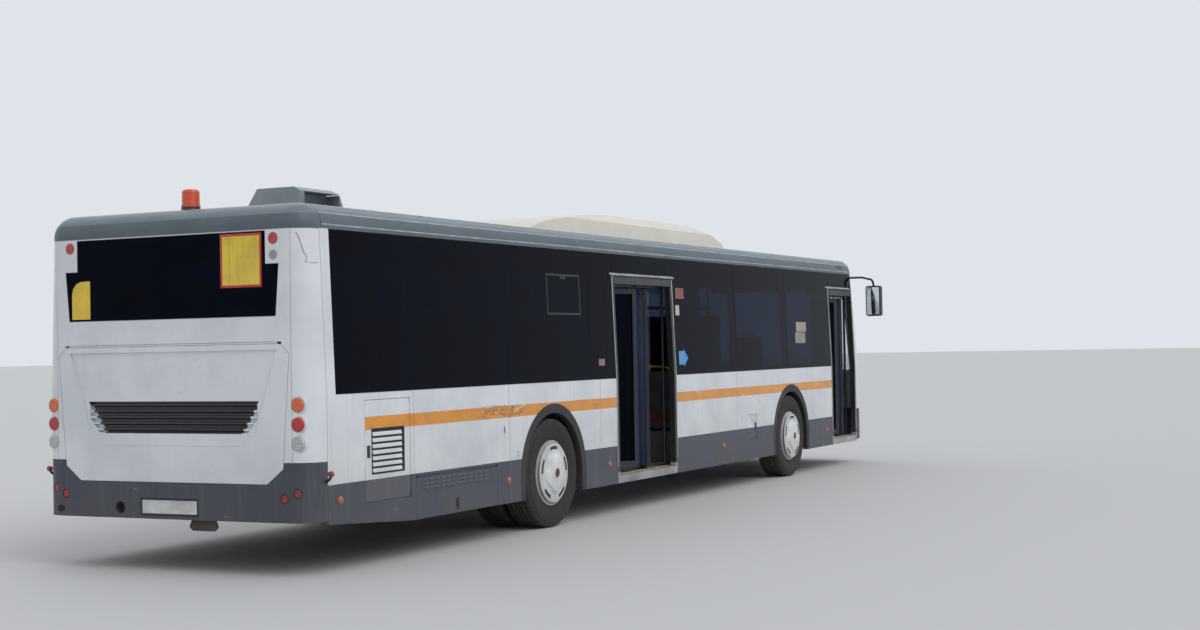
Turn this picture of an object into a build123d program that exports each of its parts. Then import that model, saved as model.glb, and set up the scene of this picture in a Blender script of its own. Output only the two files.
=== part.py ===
from build123d import *
import math
import os

# Body, seen from the driver: X forwards, Y to the left, Z up from the road
length = 12400
width = 2500
wheelbase = 5960
overhangs = (3563, 2877)
tail_x = -length / 2
nose_x = length / 2
rear_axle_x = tail_x + (length - wheelbase) * overhangs[0] / sum(overhangs)
front_axle_x = rear_axle_x + wheelbase
half_width = width / 2

# Stations as first drawn, tail, axles and nose, and where they are for the sizes above
drawn_stations = (-6200, -2637, 3323, 6200)
stations = (tail_x, rear_axle_x, front_axle_x, nose_x)


def along(x):
    """A drawn place along the bus, moved with the ends and the axles when those sizes change."""
    number = sum(x > drawn for drawn in drawn_stations[1:-1])
    share = (x - drawn_stations[number]) / (drawn_stations[number + 1] - drawn_stations[number])
    return round(stations[number] + share * (stations[number + 1] - stations[number]), 3)


def spread(*places):
    return tuple(along(x) for x in places)


# Heights of the body's lines
skirt_z = 284
skirt_top_z = 637
belt_z = 1272
cove_z = 2455
roof_z = 2640
side_lean = 43
nose_rake = 150

# Body shell
wall = 60
glass = 6
tail_radius = 190
nose_radius = 320
nose_bow = 120
cove_radius = 165
seam = 3
tail_seam_x = tail_x + 183
nose_seam_x = along(5750)

# Wheels and tyres
tyre_radius = 478
tyre_width = 275
rim_radius = 286
tyre_outer_y = 1236
twin_gap = 38
arch_radius = 525
arch_band = 85

# Floor heights: low ahead of the middle door, raised behind it
low_floor_z = 360
high_floor_z = 800
floor_plate = 30
step_x = along(-1500)

# Doorways in the right side, from rear to front
mid_door_x = spread(-1325, -45)
front_door_x = spread(4838, 5700)
door_sill_z = 356
door_head_z = 2170
door_lip = 47
door_lip_head = 75

# Clearances between pieces that touch, and between pieces that move
seat_gap = 0.3
running_gap = 8


def block(x0, x1, y0, y1, z0, z1):
    """A rectangular block between two opposite corners."""
    return Pos((x0 + x1) / 2, (y0 + y1) / 2, (z0 + z1) / 2) * Box(x1 - x0, y1 - y0, z1 - z0)


def prism_x(points, x0, x1):
    """A flat outline of (y, z) points, drawn out from x0 to x1."""
    outline = make_face(Polyline(*[(x0, y, z) for y, z in points], close=True))
    return extrude(outline, amount=x1 - x0, dir=(1, 0, 0))


def prism_y(points, y0, y1):
    """A flat outline of (x, z) points, drawn out from y0 to y1."""
    outline = make_face(Polyline(*[(x, y0, z) for x, z in points], close=True))
    return extrude(outline, amount=y1 - y0, dir=(0, 1, 0))


def rod_x(radius, x0, x1, y, z):
    return Pos((x0 + x1) / 2, y, z) * Rot(0, 90, 0) * Cylinder(radius, x1 - x0)


def rod_y(radius, y0, y1, x, z):
    return Pos(x, (y0 + y1) / 2, z) * Rot(90, 0, 0) * Cylinder(radius, y1 - y0)


def rod_z(radius, z0, z1, x, y):
    return Pos(x, y, (z0 + z1) / 2) * Cylinder(radius, z1 - z0)


def both_sides(shape):
    """A piece and its mirror image across the bus."""
    return [shape, mirror(shape, about=Plane.XZ)]


def save(name, *shapes):
    """Write one node from the solids of all its shapes."""
    solids = [solid for shape in shapes for solid in shape.solids()]
    node = solids[0] if len(solids) == 1 else Compound(solids)
    export_step(node, f"parts/{name}.step")


os.makedirs("parts", exist_ok=True)


# Body shell: a plan outline drawn up to the belt, leaned in to the cove and domed at the roof
def plan(half, nose, inset, z):
    side = half - inset
    corner = nose - inset - nose_bow
    start = tail_x + inset
    with BuildSketch(Plane.XY.offset(z)) as sketch:
        with BuildLine():
            Polyline((corner, side), (start, side), (start, -side), (corner, -side))
            ThreePointArc((corner, -side), (nose - inset, 0), (corner, side))
        make_face()
        by_x = sketch.vertices().sort_by(Axis.X)
        fillet(by_x[0:2], tail_radius - inset)
        fillet(sketch.vertices().sort_by(Axis.X)[-2:], nose_radius - inset)
    return sketch.sketch


def body(inset):
    top_half = half_width - side_lean
    top_nose = nose_x - nose_rake
    lower = extrude(plan(half_width, nose_x, inset, skirt_z), amount=belt_z - skirt_z)
    belt_line = plan(half_width, nose_x, inset, belt_z)
    cove_line = plan(top_half, top_nose, inset, cove_z)
    upper = loft([belt_line, cove_line], ruled=True)
    dome = extrude(cove_line, amount=roof_z - cove_z - inset)
    dome = fillet(dome.faces().sort_by(Axis.Z)[-1].edges(), cove_radius - inset)
    return lower + upper + dome


outer = body(0)
shell = outer - body(wall)
glass_skin = outer - body(glass + seat_gap)
pane_skin = outer - body(glass)
inside = half_width - wall
cavity = body(wall + seat_gap)


# Wheel arches: a round top with straight legs, cut through the sides
def arch(x, radius, y0, y1):
    axle_z = tyre_radius
    legs = block(x - radius, x + radius, y0, y1, 0, axle_z)
    return rod_y(radius, y0, y1, x, axle_z) + legs


def arches(radius, y0, y1):
    cuts = [arch(x, radius, y0, y1) for x in (rear_axle_x, front_axle_x)]
    return cuts[0] + cuts[1]


outside = half_width + wall
arch_cut = arches(arch_radius + arch_band - seam, inside - wall, outside)

# Side doorways, cut through skirt and frame round the door surrounds
door_bottom = skirt_z - wall
lip_x = [(x0 - door_lip, x1 + door_lip) for x0, x1 in (mid_door_x, front_door_x)]
lip_z = door_head_z + door_lip_head
door_holes = [block(x0, x1, -outside, -inside + wall, door_bottom, lip_z) for x0, x1 in lip_x]

# Hatches in the sides: (x0, x1, z0, z1)
louvre_door = (*spread(-5551, -4962), 475, 1218)
engine_flap = (*spread(-4870, -3637), 287, 604)
fuel_flap = (*spread(1930, 2188), 513, 783)
radiator_door = (*spread(-5750, -4550), 475, 1218)


def panel_hole(sizes, y0, y1, grow):
    x0, x1, z0, z1 = sizes
    return block(x0 - grow, x1 + grow, y0, y1, z0 - grow, z1 + grow)


# Hinges: barrels of alternate knuckles in the gap at a hatch's edge, just under the outer face
barrel = 7
hinge_pin = 4
hinge_gap = barrel + 1
knuckle_count = 7
knuckle_gap = 1
hinge_pin_gap = 0.05


def hinge_strip(sizes, y0, y1, edge):
    """The wider gap along a hatch's hinged edge, top or front."""
    x0, x1, z0, z1 = sizes
    if edge == "top":
        return block(x0 - seam, x1 + seam, y0, y1, z1, z1 + 2 * hinge_gap)
    return block(x1, x1 + 2 * hinge_gap, y0, y1, z0 - seam, z1 + seam)


def hinge(start, x_dir, outward, span):
    """Two halves of a hinge from start along x_dir: (on the hatch, on the frame)."""
    pitch = span / knuckle_count
    hatch_half = Pos(span / 2, 0, 0) * Rot(0, 90, 0) * Cylinder(hinge_pin, span)
    frame_half = []
    for number in range(knuckle_count):
        x0 = number * pitch + knuckle_gap / 2
        x1 = (number + 1) * pitch - knuckle_gap / 2
        ring = Pos((x0 + x1) / 2, 0, 0) * Rot(0, 90, 0) * Cylinder(barrel, x1 - x0)
        if number % 2:
            hatch_half = hatch_half + ring + block(x0, x1, 0, hinge_gap + 1, -barrel, 0)
        else:
            bore = Pos(span / 2, 0, 0) * Rot(0, 90, 0) * Cylinder(hinge_pin + hinge_pin_gap, span + 2)
            frame_half.append(ring + block(x0, x1, -hinge_gap - 1, 0, -barrel, 0) - bore)
    plane = Plane(start, x_dir=x_dir, z_dir=outward)
    return plane * hatch_half, [plane * half for half in frame_half]


hinge_y = half_width - hinge_gap
hinge_inset = 30


def side_hinge(sizes, side, edge):
    """The hinge of a side hatch; side is -1 on the right and 1 on the left."""
    x0, x1, z0, z1 = sizes
    if edge == "top":
        start = (x1 - hinge_inset, side * hinge_y, z1 + hinge_gap)
        return hinge(start, (side, 0, 0), (0, side, 0), x1 - x0 - 2 * hinge_inset)
    end_z = z0 + hinge_inset if side == -1 else z1 - hinge_inset
    start = (x1 + hinge_gap, side * hinge_y, end_z)
    return hinge(start, (0, 0, -side), (0, side, 0), z1 - z0 - 2 * hinge_inset)


side_hatches = {
    "louvre_door": (louvre_door, -1, "front"),
    "engine_flap": (engine_flap, -1, "top"),
    "fuel_flap": (fuel_flap, -1, "front"),
    "radiator_door": (radiator_door, 1, "front"),
}
right_hatches, left_hatches = [], []
right_hinges, left_hinges, hatch_hinges = [], [], {}
for name, (sizes, side, edge) in side_hatches.items():
    y0, y1 = (-outside, -inside + wall) if side == -1 else (inside - wall, outside)
    cuts, halves = (right_hatches, right_hinges) if side == -1 else (left_hatches, left_hinges)
    cuts += [panel_hole(sizes, y0, y1, seam), hinge_strip(sizes, y0, y1, edge)]
    hatch_hinges[name], frame_halves = side_hinge(sizes, side, edge)
    halves += frame_halves

# Window joints along each side; the gaps between them are the panes
door_joints = (mid_door_x[0] - door_lip, mid_door_x[1] + door_lip)
right_joints = [*spread(-5904, -4927, -3417, -1887), *door_joints, *spread(1653, 3245)]
right_joints += [front_door_x[0] - door_lip, along(5730)]
left_joints = spread(-5904, -4927, -3417, -1887, -300, 1350, 3000, 4500, 5730)
post = 45
pane_bottom = belt_z + seam
pane_top = cove_z - seam
sill_rail = 55
head_rail = 70


def window_holes(joints, y0, y1):
    holes = []
    for x0, x1 in zip(joints, joints[1:]):
        holes.append(block(x0 + post, x1 - post, y0, y1, belt_z + sill_rail, cove_z - head_rail))
    return holes


# Side frames: the white panels with the window posts above them
skin_zone = (tail_seam_x + seam, nose_seam_x - seam)
glass_band = (right_joints[0] - seam, skin_zone[1], belt_z, cove_z)


def side_frame(y0, y1, joints, cuts):
    zone = block(*skin_zone, y0, y1, skirt_top_z, cove_z)
    frame = shell & zone
    band_x0, band_x1, band_z0, band_z1 = glass_band
    frame = frame - (glass_skin & block(band_x0, band_x1, y0, y1, band_z0, band_z1))
    for cut in window_holes(joints, y0, y1) + cuts + [arch_cut, mirror(arch_cut, about=Plane.XZ)]:
        frame = frame - cut
    return frame


right_y = (-outside, 0)
left_y = (0, outside)
right_frame = side_frame(*right_y, right_joints, door_holes + right_hatches)
left_frame = side_frame(*left_y, left_joints, left_hatches)


def in_zone(halves, low, high):
    """The hinge knuckles whose middle lies between two heights."""
    return [half for half in halves if low < half.center().Z < high]


for half in in_zone(right_hinges, skirt_top_z, cove_z):
    right_frame = right_frame + half
for half in in_zone(left_hinges, skirt_top_z, cove_z):
    left_frame = left_frame + half


def in_levels(frame):
    """Panels below the glass, posts and head rail, each a piece of its own."""
    sill_z, head_z = belt_z + sill_rail, cove_z - head_rail
    levels = [(skirt_top_z, sill_z), (sill_z + seat_gap, head_z - seat_gap), (head_z, cove_z)]
    return [frame & block(*skin_zone, -outside, outside, low, high) for low, high in levels]


save("side_frame_right", *in_levels(right_frame))
save("side_frame_left", *in_levels(left_frame))


# Skirts: grey panels below the white ones, rising towards the tail
skirt_rise_x = along(-4887)
skirt_tail_z = 361


def skirt(y0, y1, cuts):
    panel = shell & block(*skin_zone, y0, y1, skirt_z, skirt_top_z - seat_gap)
    rise_x = skin_zone[0] - seam
    rise = [(rise_x, skirt_z - wall), (skirt_rise_x, skirt_z), (rise_x, skirt_tail_z)]
    for cut in cuts + [prism_y(rise, y0, y1), arch_cut, mirror(arch_cut, about=Plane.XZ)]:
        panel = panel - cut
    return panel


right_skirt = skirt(*right_y, door_holes + right_hatches)
for half in in_zone(right_hinges, 0, skirt_top_z):
    right_skirt = right_skirt + half
left_skirt = skirt(*left_y, left_hatches)
for half in in_zone(left_hinges, 0, skirt_top_z):
    left_skirt = left_skirt + half
save("skirts", right_skirt, left_skirt)


# Side panes: bonded flush over the posts, one between each pair of joints
def panes(y0, y1, joints, over_doors):
    made = []
    for x0, x1 in zip(joints, joints[1:]):
        bottom = pane_bottom
        for lip in over_doors:
            if x0 < (lip[0] + lip[1]) / 2 < x1:
                bottom = lip_z + seam
        zone = block(x0 + seam, x1 - seam, y0, y1, bottom, pane_top)
        made.append(pane_skin & zone)
    return made


save("side_glass", *panes(*right_y, right_joints, lip_x), *panes(*left_y, left_joints, []))


# Arch trims: a broad black band round each arch, as deep as the side wall
trim_cut = arches(arch_radius, inside - wall, outside)
trim_band = arches(arch_radius + arch_band - 2 * seam, inside - wall, outside) - trim_cut
trim = (shell & trim_band) & block(-nose_x, nose_x, 0, outside, skirt_z, cove_z)
save("arch_trims", *both_sides(trim))


# Tail: cap, bumper, engine hatch and window
bumper_top_z = 805
bumper_low_z = 382
hatch_top = (1065, 1640)
hatch_waist = (1001, 760)
hatch_low_z = 651
hatch_chamfer = 70
rear_window_z = (1838, 2440)
rear_window_y = (954, 985)
tail_zone = (tail_x - wall, tail_seam_x)

hatch_outline = [
    (hatch_top[0] - hatch_chamfer, hatch_top[1]),
    (hatch_top[0], hatch_top[1] - hatch_chamfer),
    hatch_waist,
    (hatch_waist[0] - 2 * hatch_chamfer, hatch_low_z),
]
hatch_loop = hatch_outline + [(-y, z) for y, z in reversed(hatch_outline)]
lamp_tab = (870, 2205)
half_window = [
    (rear_window_y[0], rear_window_z[0]),
    (rear_window_y[1], lamp_tab[1]),
    lamp_tab,
    (lamp_tab[0], rear_window_z[1]),
]
window_loop = half_window + [(-y, z) for y, z in reversed(half_window)]


def drawn_x(points, grow, x0, x1):
    face = make_face(Polyline(*[(y, z) for y, z in points], close=True))
    rim = offset(face, amount=grow, kind=Kind.INTERSECTION)
    return extrude(Plane((x0, 0, 0), x_dir=(0, 1, 0), z_dir=(1, 0, 0)) * rim, amount=x1 - x0)


hatch_hinge_half = hatch_top[0] - hatch_chamfer - hinge_inset
hatch_hinge_start = (tail_x + hinge_gap, -hatch_hinge_half, hatch_top[1] + hinge_gap)
hatch_half, cap_halves = hinge(hatch_hinge_start, (0, 1, 0), (-1, 0, 0), 2 * hatch_hinge_half)
hatch_strip_y = hatch_top[0] - hatch_chamfer + 2 * seam
hatch_strip = block(*tail_zone, -hatch_strip_y, hatch_strip_y, hatch_top[1], hatch_top[1] + 2 * hinge_gap)
hatch_hole = drawn_x(hatch_loop, seam, *tail_zone) + hatch_strip
tail_cap = shell & block(*tail_zone, -outside, outside, bumper_top_z + seat_gap, cove_z)
tail_cap = tail_cap - hatch_hole - (glass_skin & drawn_x(window_loop, seam, *tail_zone))
tail_cap = tail_cap - drawn_x(window_loop, -sill_rail, *tail_zone)
for half in cap_halves:
    tail_cap = tail_cap + half

# Tail lamps: round lenses on tapered fairings at the corners, and two high stop lamps in the cap
lamp_y = 1128
lamp_radius = 52
lamp_rim = 10
lamp_heights = [1211, 1073, 938]
fairing_x = tail_x + 15
fairing_length = 150
fairing_taper = 22
high_lamp = (942, 2385)
high_lamp_radius = 42
high_lamp_depth = 20


def fairing(z):
    cone = Cone(lamp_radius + lamp_rim, lamp_radius + lamp_rim - fairing_taper, fairing_length)
    return Pos(fairing_x + fairing_length / 2, lamp_y, z) * Rot(0, 90, 0) * cone


lamps = []
for z in lamp_heights:
    lens = rod_x(lamp_radius, tail_x, fairing_x - seat_gap, lamp_y, z)
    lamps += both_sides(fillet(lens.edges().group_by(Axis.X)[0], lamp_rim))
    bed = rod_x(lamp_radius + seat_gap, tail_x - 1, fairing_x, lamp_y, z)
    for shape, hollow in zip(both_sides(fairing(z)), both_sides(bed)):
        tail_cap = tail_cap + (shape - cavity) - hollow
high_x = (tail_x, tail_x + high_lamp_depth)
for shape in both_sides(rod_x(high_lamp_radius + seat_gap, tail_x - 1, high_x[1] + seat_gap, *high_lamp)):
    tail_cap = tail_cap - shape
lamps += both_sides(rod_x(high_lamp_radius, *high_x, *high_lamp))
save("rear_cap", tail_cap)

# Shallow seats in the rear pane for a blank sign and a blank label: (y0, y1, z0, z1)
label_depth = 1.5
label_seats = [(-842, -473, 2044, 2432), (749, 930, 1850, 2139)]
rear_pane = pane_skin & drawn_x(window_loop, 0, *tail_zone)
for seat_edges in label_seats:
    rear_pane = rear_pane - block(tail_x - 1, tail_x + label_depth, *seat_edges)
save("rear_window", rear_pane)

tow_y = 483
tow_z = 458
tow_hole_radius = 45
tow_outer = 42
nose_tow_z = low_floor_z - floor_plate - seat_gap - tow_outer
tail_bumper = (shell & block(*tail_zone, -outside, outside, bumper_low_z, bumper_top_z)) - hatch_hole
tail_bumper = tail_bumper - rod_x(tow_hole_radius, *tail_zone, tow_y, tow_z)

# Pockets in the tail: one for the number plate, and a round one for each reflector
plate_size = (536, 128)
plate_mid = (25, 470)
pocket_depth = 14
reflector_radius = 36
reflectors = [(1010, 551), (1120, 590)]
plate_y = (plate_mid[0] - plate_size[0] / 2, plate_mid[0] + plate_size[0] / 2)
plate_seat_z = (plate_mid[1] - plate_size[1] / 2, plate_mid[1] + plate_size[1] / 2)
tail_bumper = tail_bumper - block(tail_x - 1, tail_x + pocket_depth, *plate_y, *plate_seat_z)
for y, z in reflectors:
    for pocket in both_sides(rod_x(reflector_radius, tail_x - 1, tail_x + pocket_depth, y, z)):
        tail_bumper = tail_bumper - pocket
save("rear_bumper", tail_bumper)

# Engine hatch: a raised rim round a sunken field with a slatted grille
ridge_loop = [(956, 1598), (770, 1030), (620, 915), (-620, 915), (-770, 1030), (-956, 1598)]
ridge_depth = 14
grille_loop = [(775, 1232), (775, 1110), (690, 1010), (-690, 1010), (-775, 1110), (-775, 1232)]
grille_slats = 5
slat_height = 26
slat_depth = 22
field_floor = wall - 18

hatch = shell & drawn_x(hatch_loop, 0, *tail_zone)
hatch = hatch - drawn_x(ridge_loop, 0, tail_x - wall, tail_x + ridge_depth)
hatch = hatch - drawn_x(grille_loop, 0, tail_x - wall, tail_x + field_floor)
grille_z = (1010, 1232)
pitch = (grille_z[1] - grille_z[0]) / grille_slats
slat_zone = drawn_x(grille_loop, 1, *tail_zone)
for number in range(grille_slats):
    z = grille_z[0] + (number + 0.5) * pitch
    low = z - slat_height / 2
    slat = [(tail_x + 40, low), (tail_x + ridge_depth, low + 10), (tail_x + ridge_depth + 4, low + 22)]
    slat = slat + [(tail_x + field_floor + 1, low + 12)]
    hatch = hatch + (prism_y(slat, -800, 800) & slat_zone)
save("engine_hatch", hatch + hatch_half)

# Nose: cap, bumper, windscreen and headlamps
nose_zone = (nose_seam_x, nose_x + wall)
screen_loop = [(1095, 2410), (1130, 1150), (-1130, 1150), (-1095, 2410)]
front_bumper_z = (skirt_z + 20, 700)
nose_cap = shell & block(*nose_zone, -outside, outside, front_bumper_z[1] + seat_gap, cove_z)
nose_reach = (nose_seam_x - 250, nose_x + wall)
nose_cap = nose_cap - (glass_skin & drawn_x(screen_loop, seam, *nose_reach))
nose_cap = nose_cap - drawn_x(screen_loop, -sill_rail, *nose_reach)
headlamp_loop = [(1110, 960), (1110, 780), (720, 760), (760, 900)]
lens_depth = 22
lens_skin = outer - body(lens_depth)
lens_bed = outer - body(lens_depth + seat_gap)
for side in both_sides(drawn_x(headlamp_loop, seam, *nose_reach)):
    nose_cap = nose_cap - (lens_bed & side)
headlamps = both_sides(lens_skin & drawn_x(headlamp_loop, 0, *nose_reach))
save("front_cap", nose_cap)
save("windscreen", pane_skin & drawn_x(screen_loop, 0, *nose_reach))
nose_bumper = shell & block(*nose_zone, -outside, outside, *front_bumper_z)
nose_plate_z = (400, 528)
nose_bumper = nose_bumper - rod_x(tow_hole_radius, *nose_zone, -tow_y, nose_tow_z)
nose_plate_half = plate_size[0] / 2
nose_bumper = nose_bumper - block(nose_x - 22, nose_x + 1, -nose_plate_half, nose_plate_half, *nose_plate_z)
save("front_bumper", nose_bumper)
save("lamps", *lamps, *headlamps)

# Roof: a flat middle panel, a cove along each side and a curved end piece at the tail and the nose
roof_side = 1030
roof_ends = (tail_x + cove_radius + 20, nose_x - 500)
roof_side_x = (tail_x - wall, nose_x + wall)
crown = shell & block(*roof_side_x, -outside, outside, cove_z + seat_gap, roof_z + wall)
roof_zones = [
    (*roof_side_x, -outside, -roof_side - seat_gap),
    (*roof_side_x, roof_side + seat_gap, outside),
    (roof_side_x[0], roof_ends[0] - seat_gap, -roof_side, roof_side),
    (*roof_ends, -roof_side, roof_side),
    (roof_ends[1] + seat_gap, roof_side_x[1], -roof_side, roof_side),
]
save("roof", *[crown & block(*zone, cove_z, roof_z + wall) for zone in roof_zones])


# Hinged side hatches: slabs of the wall itself, with pressed louvres
def side_hatch(sizes, y0, y1):
    return shell & panel_hole(sizes, y0, y1, 0)


# Louvres in a hatch: (rows, columns, x0, x1, z0, z1, how far each slot leans up inwards)
louvre_rows = {
    "louvre_door": (9, 1, louvre_door[0] + 94, louvre_door[1] - 80, 685, 997, 24),
    "engine_flap": (3, 1, engine_flap[0] + 103, engine_flap[1] - 146, 504, 590, 16),
    "radiator_door": (12, 1, radiator_door[0] + 60, radiator_door[1] - 60, 540, 1160, 24),
}


def louvres(rows, columns, x0, x1, z0, z1, lean):
    slots = []
    step_z = (z1 - z0) / rows
    span = (x1 - x0) / columns
    for row in range(rows):
        for column in range(columns):
            low = z0 + row * step_z
            x = x0 + column * span
            outline = [(-outside, low), (-outside, low + step_z * 0.6), (-inside - wall * 0.4, low + lean)]
            slots.append(prism_x(outline, x, x + span * 0.86))
    return slots


louvre_panel = side_hatch(louvre_door, *right_y)
for slot in louvres(*louvre_rows["louvre_door"]):
    louvre_panel = louvre_panel - slot
save("louvre_door", louvre_panel + hatch_hinges["louvre_door"])
flap_panel = side_hatch(engine_flap, *right_y)
for slot in louvres(*louvre_rows["engine_flap"]):
    flap_panel = flap_panel - slot
save("engine_flap", flap_panel + hatch_hinges["engine_flap"])
save("fuel_flap", side_hatch(fuel_flap, *right_y) + hatch_hinges["fuel_flap"])
radiator_panel = side_hatch(radiator_door, *left_y)
for slot in louvres(*louvre_rows["radiator_door"]):
    radiator_panel = radiator_panel - mirror(slot, about=Plane.XZ)
save("radiator_door", radiator_panel + hatch_hinges["radiator_door"])

# Floor: a low plate, a raised plate behind the middle door, wheel boxes, seat podiums and two steps
floor_half = inside - seat_gap
floor_x = (tail_x + wall + seat_gap, nose_x - wall - nose_rake)
box_plate = 20
front_box_half = 580
front_box_y = 470
front_box_z = 1040
rear_box_half = 560
rear_box_y = 590
rear_box_z = 1020
rear_box_low_z = 560
tail_podium_x = along(-4650)
tail_podium_z = 1080
side_podium_x = spread(165, 2140)
side_podium_y = 700
side_podium_z = 695
aisle_half = 290
stair_z = 580
stair_x = step_x - 300
nose_floor_half = 900
tail_end_x = floor_x[0] + tail_radius
spring_shelf = (90, 660, 560)
shelf_x = (front_axle_x - spring_shelf[0], front_axle_x + spring_shelf[0])


def sheet_box(x0, x1, y0, y1, z0, z1):
    """A box open below and outwards: its lid, inner wall and two end walls, each a sheet."""
    under = z1 - box_plate - seat_gap
    behind = y0 + box_plate + seat_gap
    sheets = [block(x0, x1, y0, y1, z1 - box_plate, z1), block(x0, x1, y0, y0 + box_plate, z0, under)]
    sheets.append(block(x0, x0 + box_plate, behind, y1, z0, under))
    sheets.append(block(x1 - box_plate, x1, behind, y1, z0, under))
    return sheets


plate_z = (low_floor_z - floor_plate, low_floor_z)
high_plate_z = (high_floor_z - floor_plate, high_floor_z)
nose_end_x = floor_x[1]
low_plate = block(step_x, nose_seam_x, -floor_half, floor_half, *plate_z)
low_plate = low_plate + block(nose_seam_x, nose_end_x, -nose_floor_half, nose_floor_half, *plate_z)
wheel_bay = (front_axle_x - front_box_half + box_plate, front_axle_x + front_box_half - box_plate)
for bay in both_sides(block(*wheel_bay, front_box_y + box_plate, outside, *plate_z)):
    low_plate = low_plate - bay

# The raised floor in strips round the aisle's steps and the rear wheel boxes
cheek = aisle_half + box_plate + seat_gap
box_ends = (rear_axle_x - rear_box_half - seat_gap, rear_axle_x + rear_box_half + seat_gap)
podium_face_x = tail_podium_x - box_plate
back_x = stair_x - box_plate - seat_gap
inner_y = rear_box_y - seat_gap
floor = [low_plate]
floor.append(block(podium_face_x, box_ends[0] - seat_gap, -floor_half, floor_half, *high_plate_z))
floor.append(block(box_ends[0], back_x - seat_gap, -inner_y, inner_y, *high_plate_z))
for side in both_sides(block(back_x, step_x, cheek, inner_y, *high_plate_z)):
    floor.append(side)
for side in both_sides(block(box_ends[1], step_x, inner_y + seat_gap, floor_half, *high_plate_z)):
    floor.append(side)

# The riser to the raised floor, open at the aisle, and the two steps between cheeks
riser_x = (step_x - floor_plate, step_x - seat_gap)
riser_z = (plate_z[0], high_plate_z[0] - seat_gap)
for side in both_sides(block(*riser_x, cheek, floor_half, *riser_z)):
    floor.append(side)
riser_top_z = stair_z - floor_plate - seat_gap
floor.append(block(*riser_x, -cheek + seat_gap, cheek - seat_gap, plate_z[0], riser_top_z))
floor.append(block(stair_x, step_x, -cheek + seat_gap, cheek - seat_gap, stair_z - floor_plate, stair_z))
stair_face_x = (stair_x - box_plate, stair_x - seat_gap)
floor.append(block(*stair_face_x, -aisle_half, aisle_half, stair_z - floor_plate, high_floor_z))
stair_side = block(stair_x, step_x, aisle_half, cheek - seat_gap, stair_z + seat_gap, high_floor_z)
for side in both_sides(stair_side):
    floor.append(side)

# The tail podium over the engine: top, front and two sides
bay_half = floor_half - wall
podium_under = tail_podium_z - floor_plate - seat_gap
tail_plate_z = (tail_podium_z - floor_plate, tail_podium_z)
floor.append(block(tail_end_x, tail_podium_x, -floor_half, floor_half, *tail_plate_z))
floor.append(block(podium_face_x, tail_podium_x, -bay_half, bay_half, high_floor_z + seat_gap, podium_under))
bay_x = (tail_end_x, podium_face_x - seat_gap)
for side in both_sides(block(*bay_x, bay_half, floor_half, high_plate_z[0], podium_under)):
    floor.append(side)

# Wheel boxes, the shelves over the front bellows, and the podiums under the seats by the middle door
boxes = [
    (front_axle_x - front_box_half, front_axle_x + front_box_half, front_box_y,
     low_floor_z + seat_gap, front_box_z),
    (rear_axle_x - rear_box_half, rear_axle_x + rear_box_half, rear_box_y, rear_box_low_z, rear_box_z),
    (*side_podium_x, side_podium_y, low_floor_z + seat_gap, side_podium_z),
]
for x0, x1, y0, z0, z1 in boxes:
    for sheet in sheet_box(x0, x1, y0, floor_half, z0, z1):
        floor += both_sides(sheet)
shelf_y = (front_box_y + box_plate + seat_gap, spring_shelf[1])
floor += both_sides(block(*shelf_x, *shelf_y, spring_shelf[2], spring_shelf[2] + box_plate))
save("floor", *floor)

# Chassis: square tubes under both floors, with a tow socket at each end
tube = 60
low_rail_z = (plate_z[0] - tube - seat_gap, plate_z[0] - seat_gap)
high_rail_z = (620, 720)
rail_y = 430
outrigger_y = 1120
kick_x = rear_axle_x + rear_box_half + 340
bars_off_axle = (673, 667)
low_bars_x = [*spread(-1300, -500, 300, 1100, 1900), front_axle_x - bars_off_axle[0]]
low_bars_x += [front_axle_x + bars_off_axle[1], *spread(4780, 5600)]
box_bars = (623, 637)
high_bars_x = [*spread(-5950, -4600, -4100), rear_axle_x - box_bars[0], rear_axle_x + box_bars[1]]
axle_notch = (90, 308)
tow_bore = 20
tow_depth = 100


def cross_bar(x, half, z0, z1):
    return block(x - tube / 2, x + tube / 2, -half, half, z0, z1)


inner_half = rail_y - tube / 2 - seat_gap
outer_y = rail_y + tube / 2 + seat_gap
chassis = []
for x in low_bars_x:
    chassis.append(cross_bar(x, inner_half, *low_rail_z))
    if abs(x - front_axle_x) > front_box_half and x != low_bars_x[-1]:
        chassis += both_sides(block(x - tube / 2, x + tube / 2, outer_y, outrigger_y, *low_rail_z))
for x in high_bars_x:
    chassis.append(cross_bar(x, inner_half, *high_rail_z))
rail_sides = (rail_y - tube / 2, rail_y + tube / 2)
notch_x = (front_axle_x - axle_notch[0], front_axle_x + axle_notch[0])
notch = block(*notch_x, -outside, outside, 0, axle_notch[1])
low_rail = block(kick_x - tube, low_bars_x[-1] + tube / 2, *rail_sides, *low_rail_z) - notch
kick = block(kick_x - tube, kick_x, *rail_sides, low_rail_z[1] + seat_gap, high_rail_z[0] - seat_gap)
high_rail = block(high_bars_x[0] - tube / 2, kick_x, *rail_sides, *high_rail_z)
chassis += both_sides(low_rail) + both_sides(kick) + both_sides(high_rail)

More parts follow.
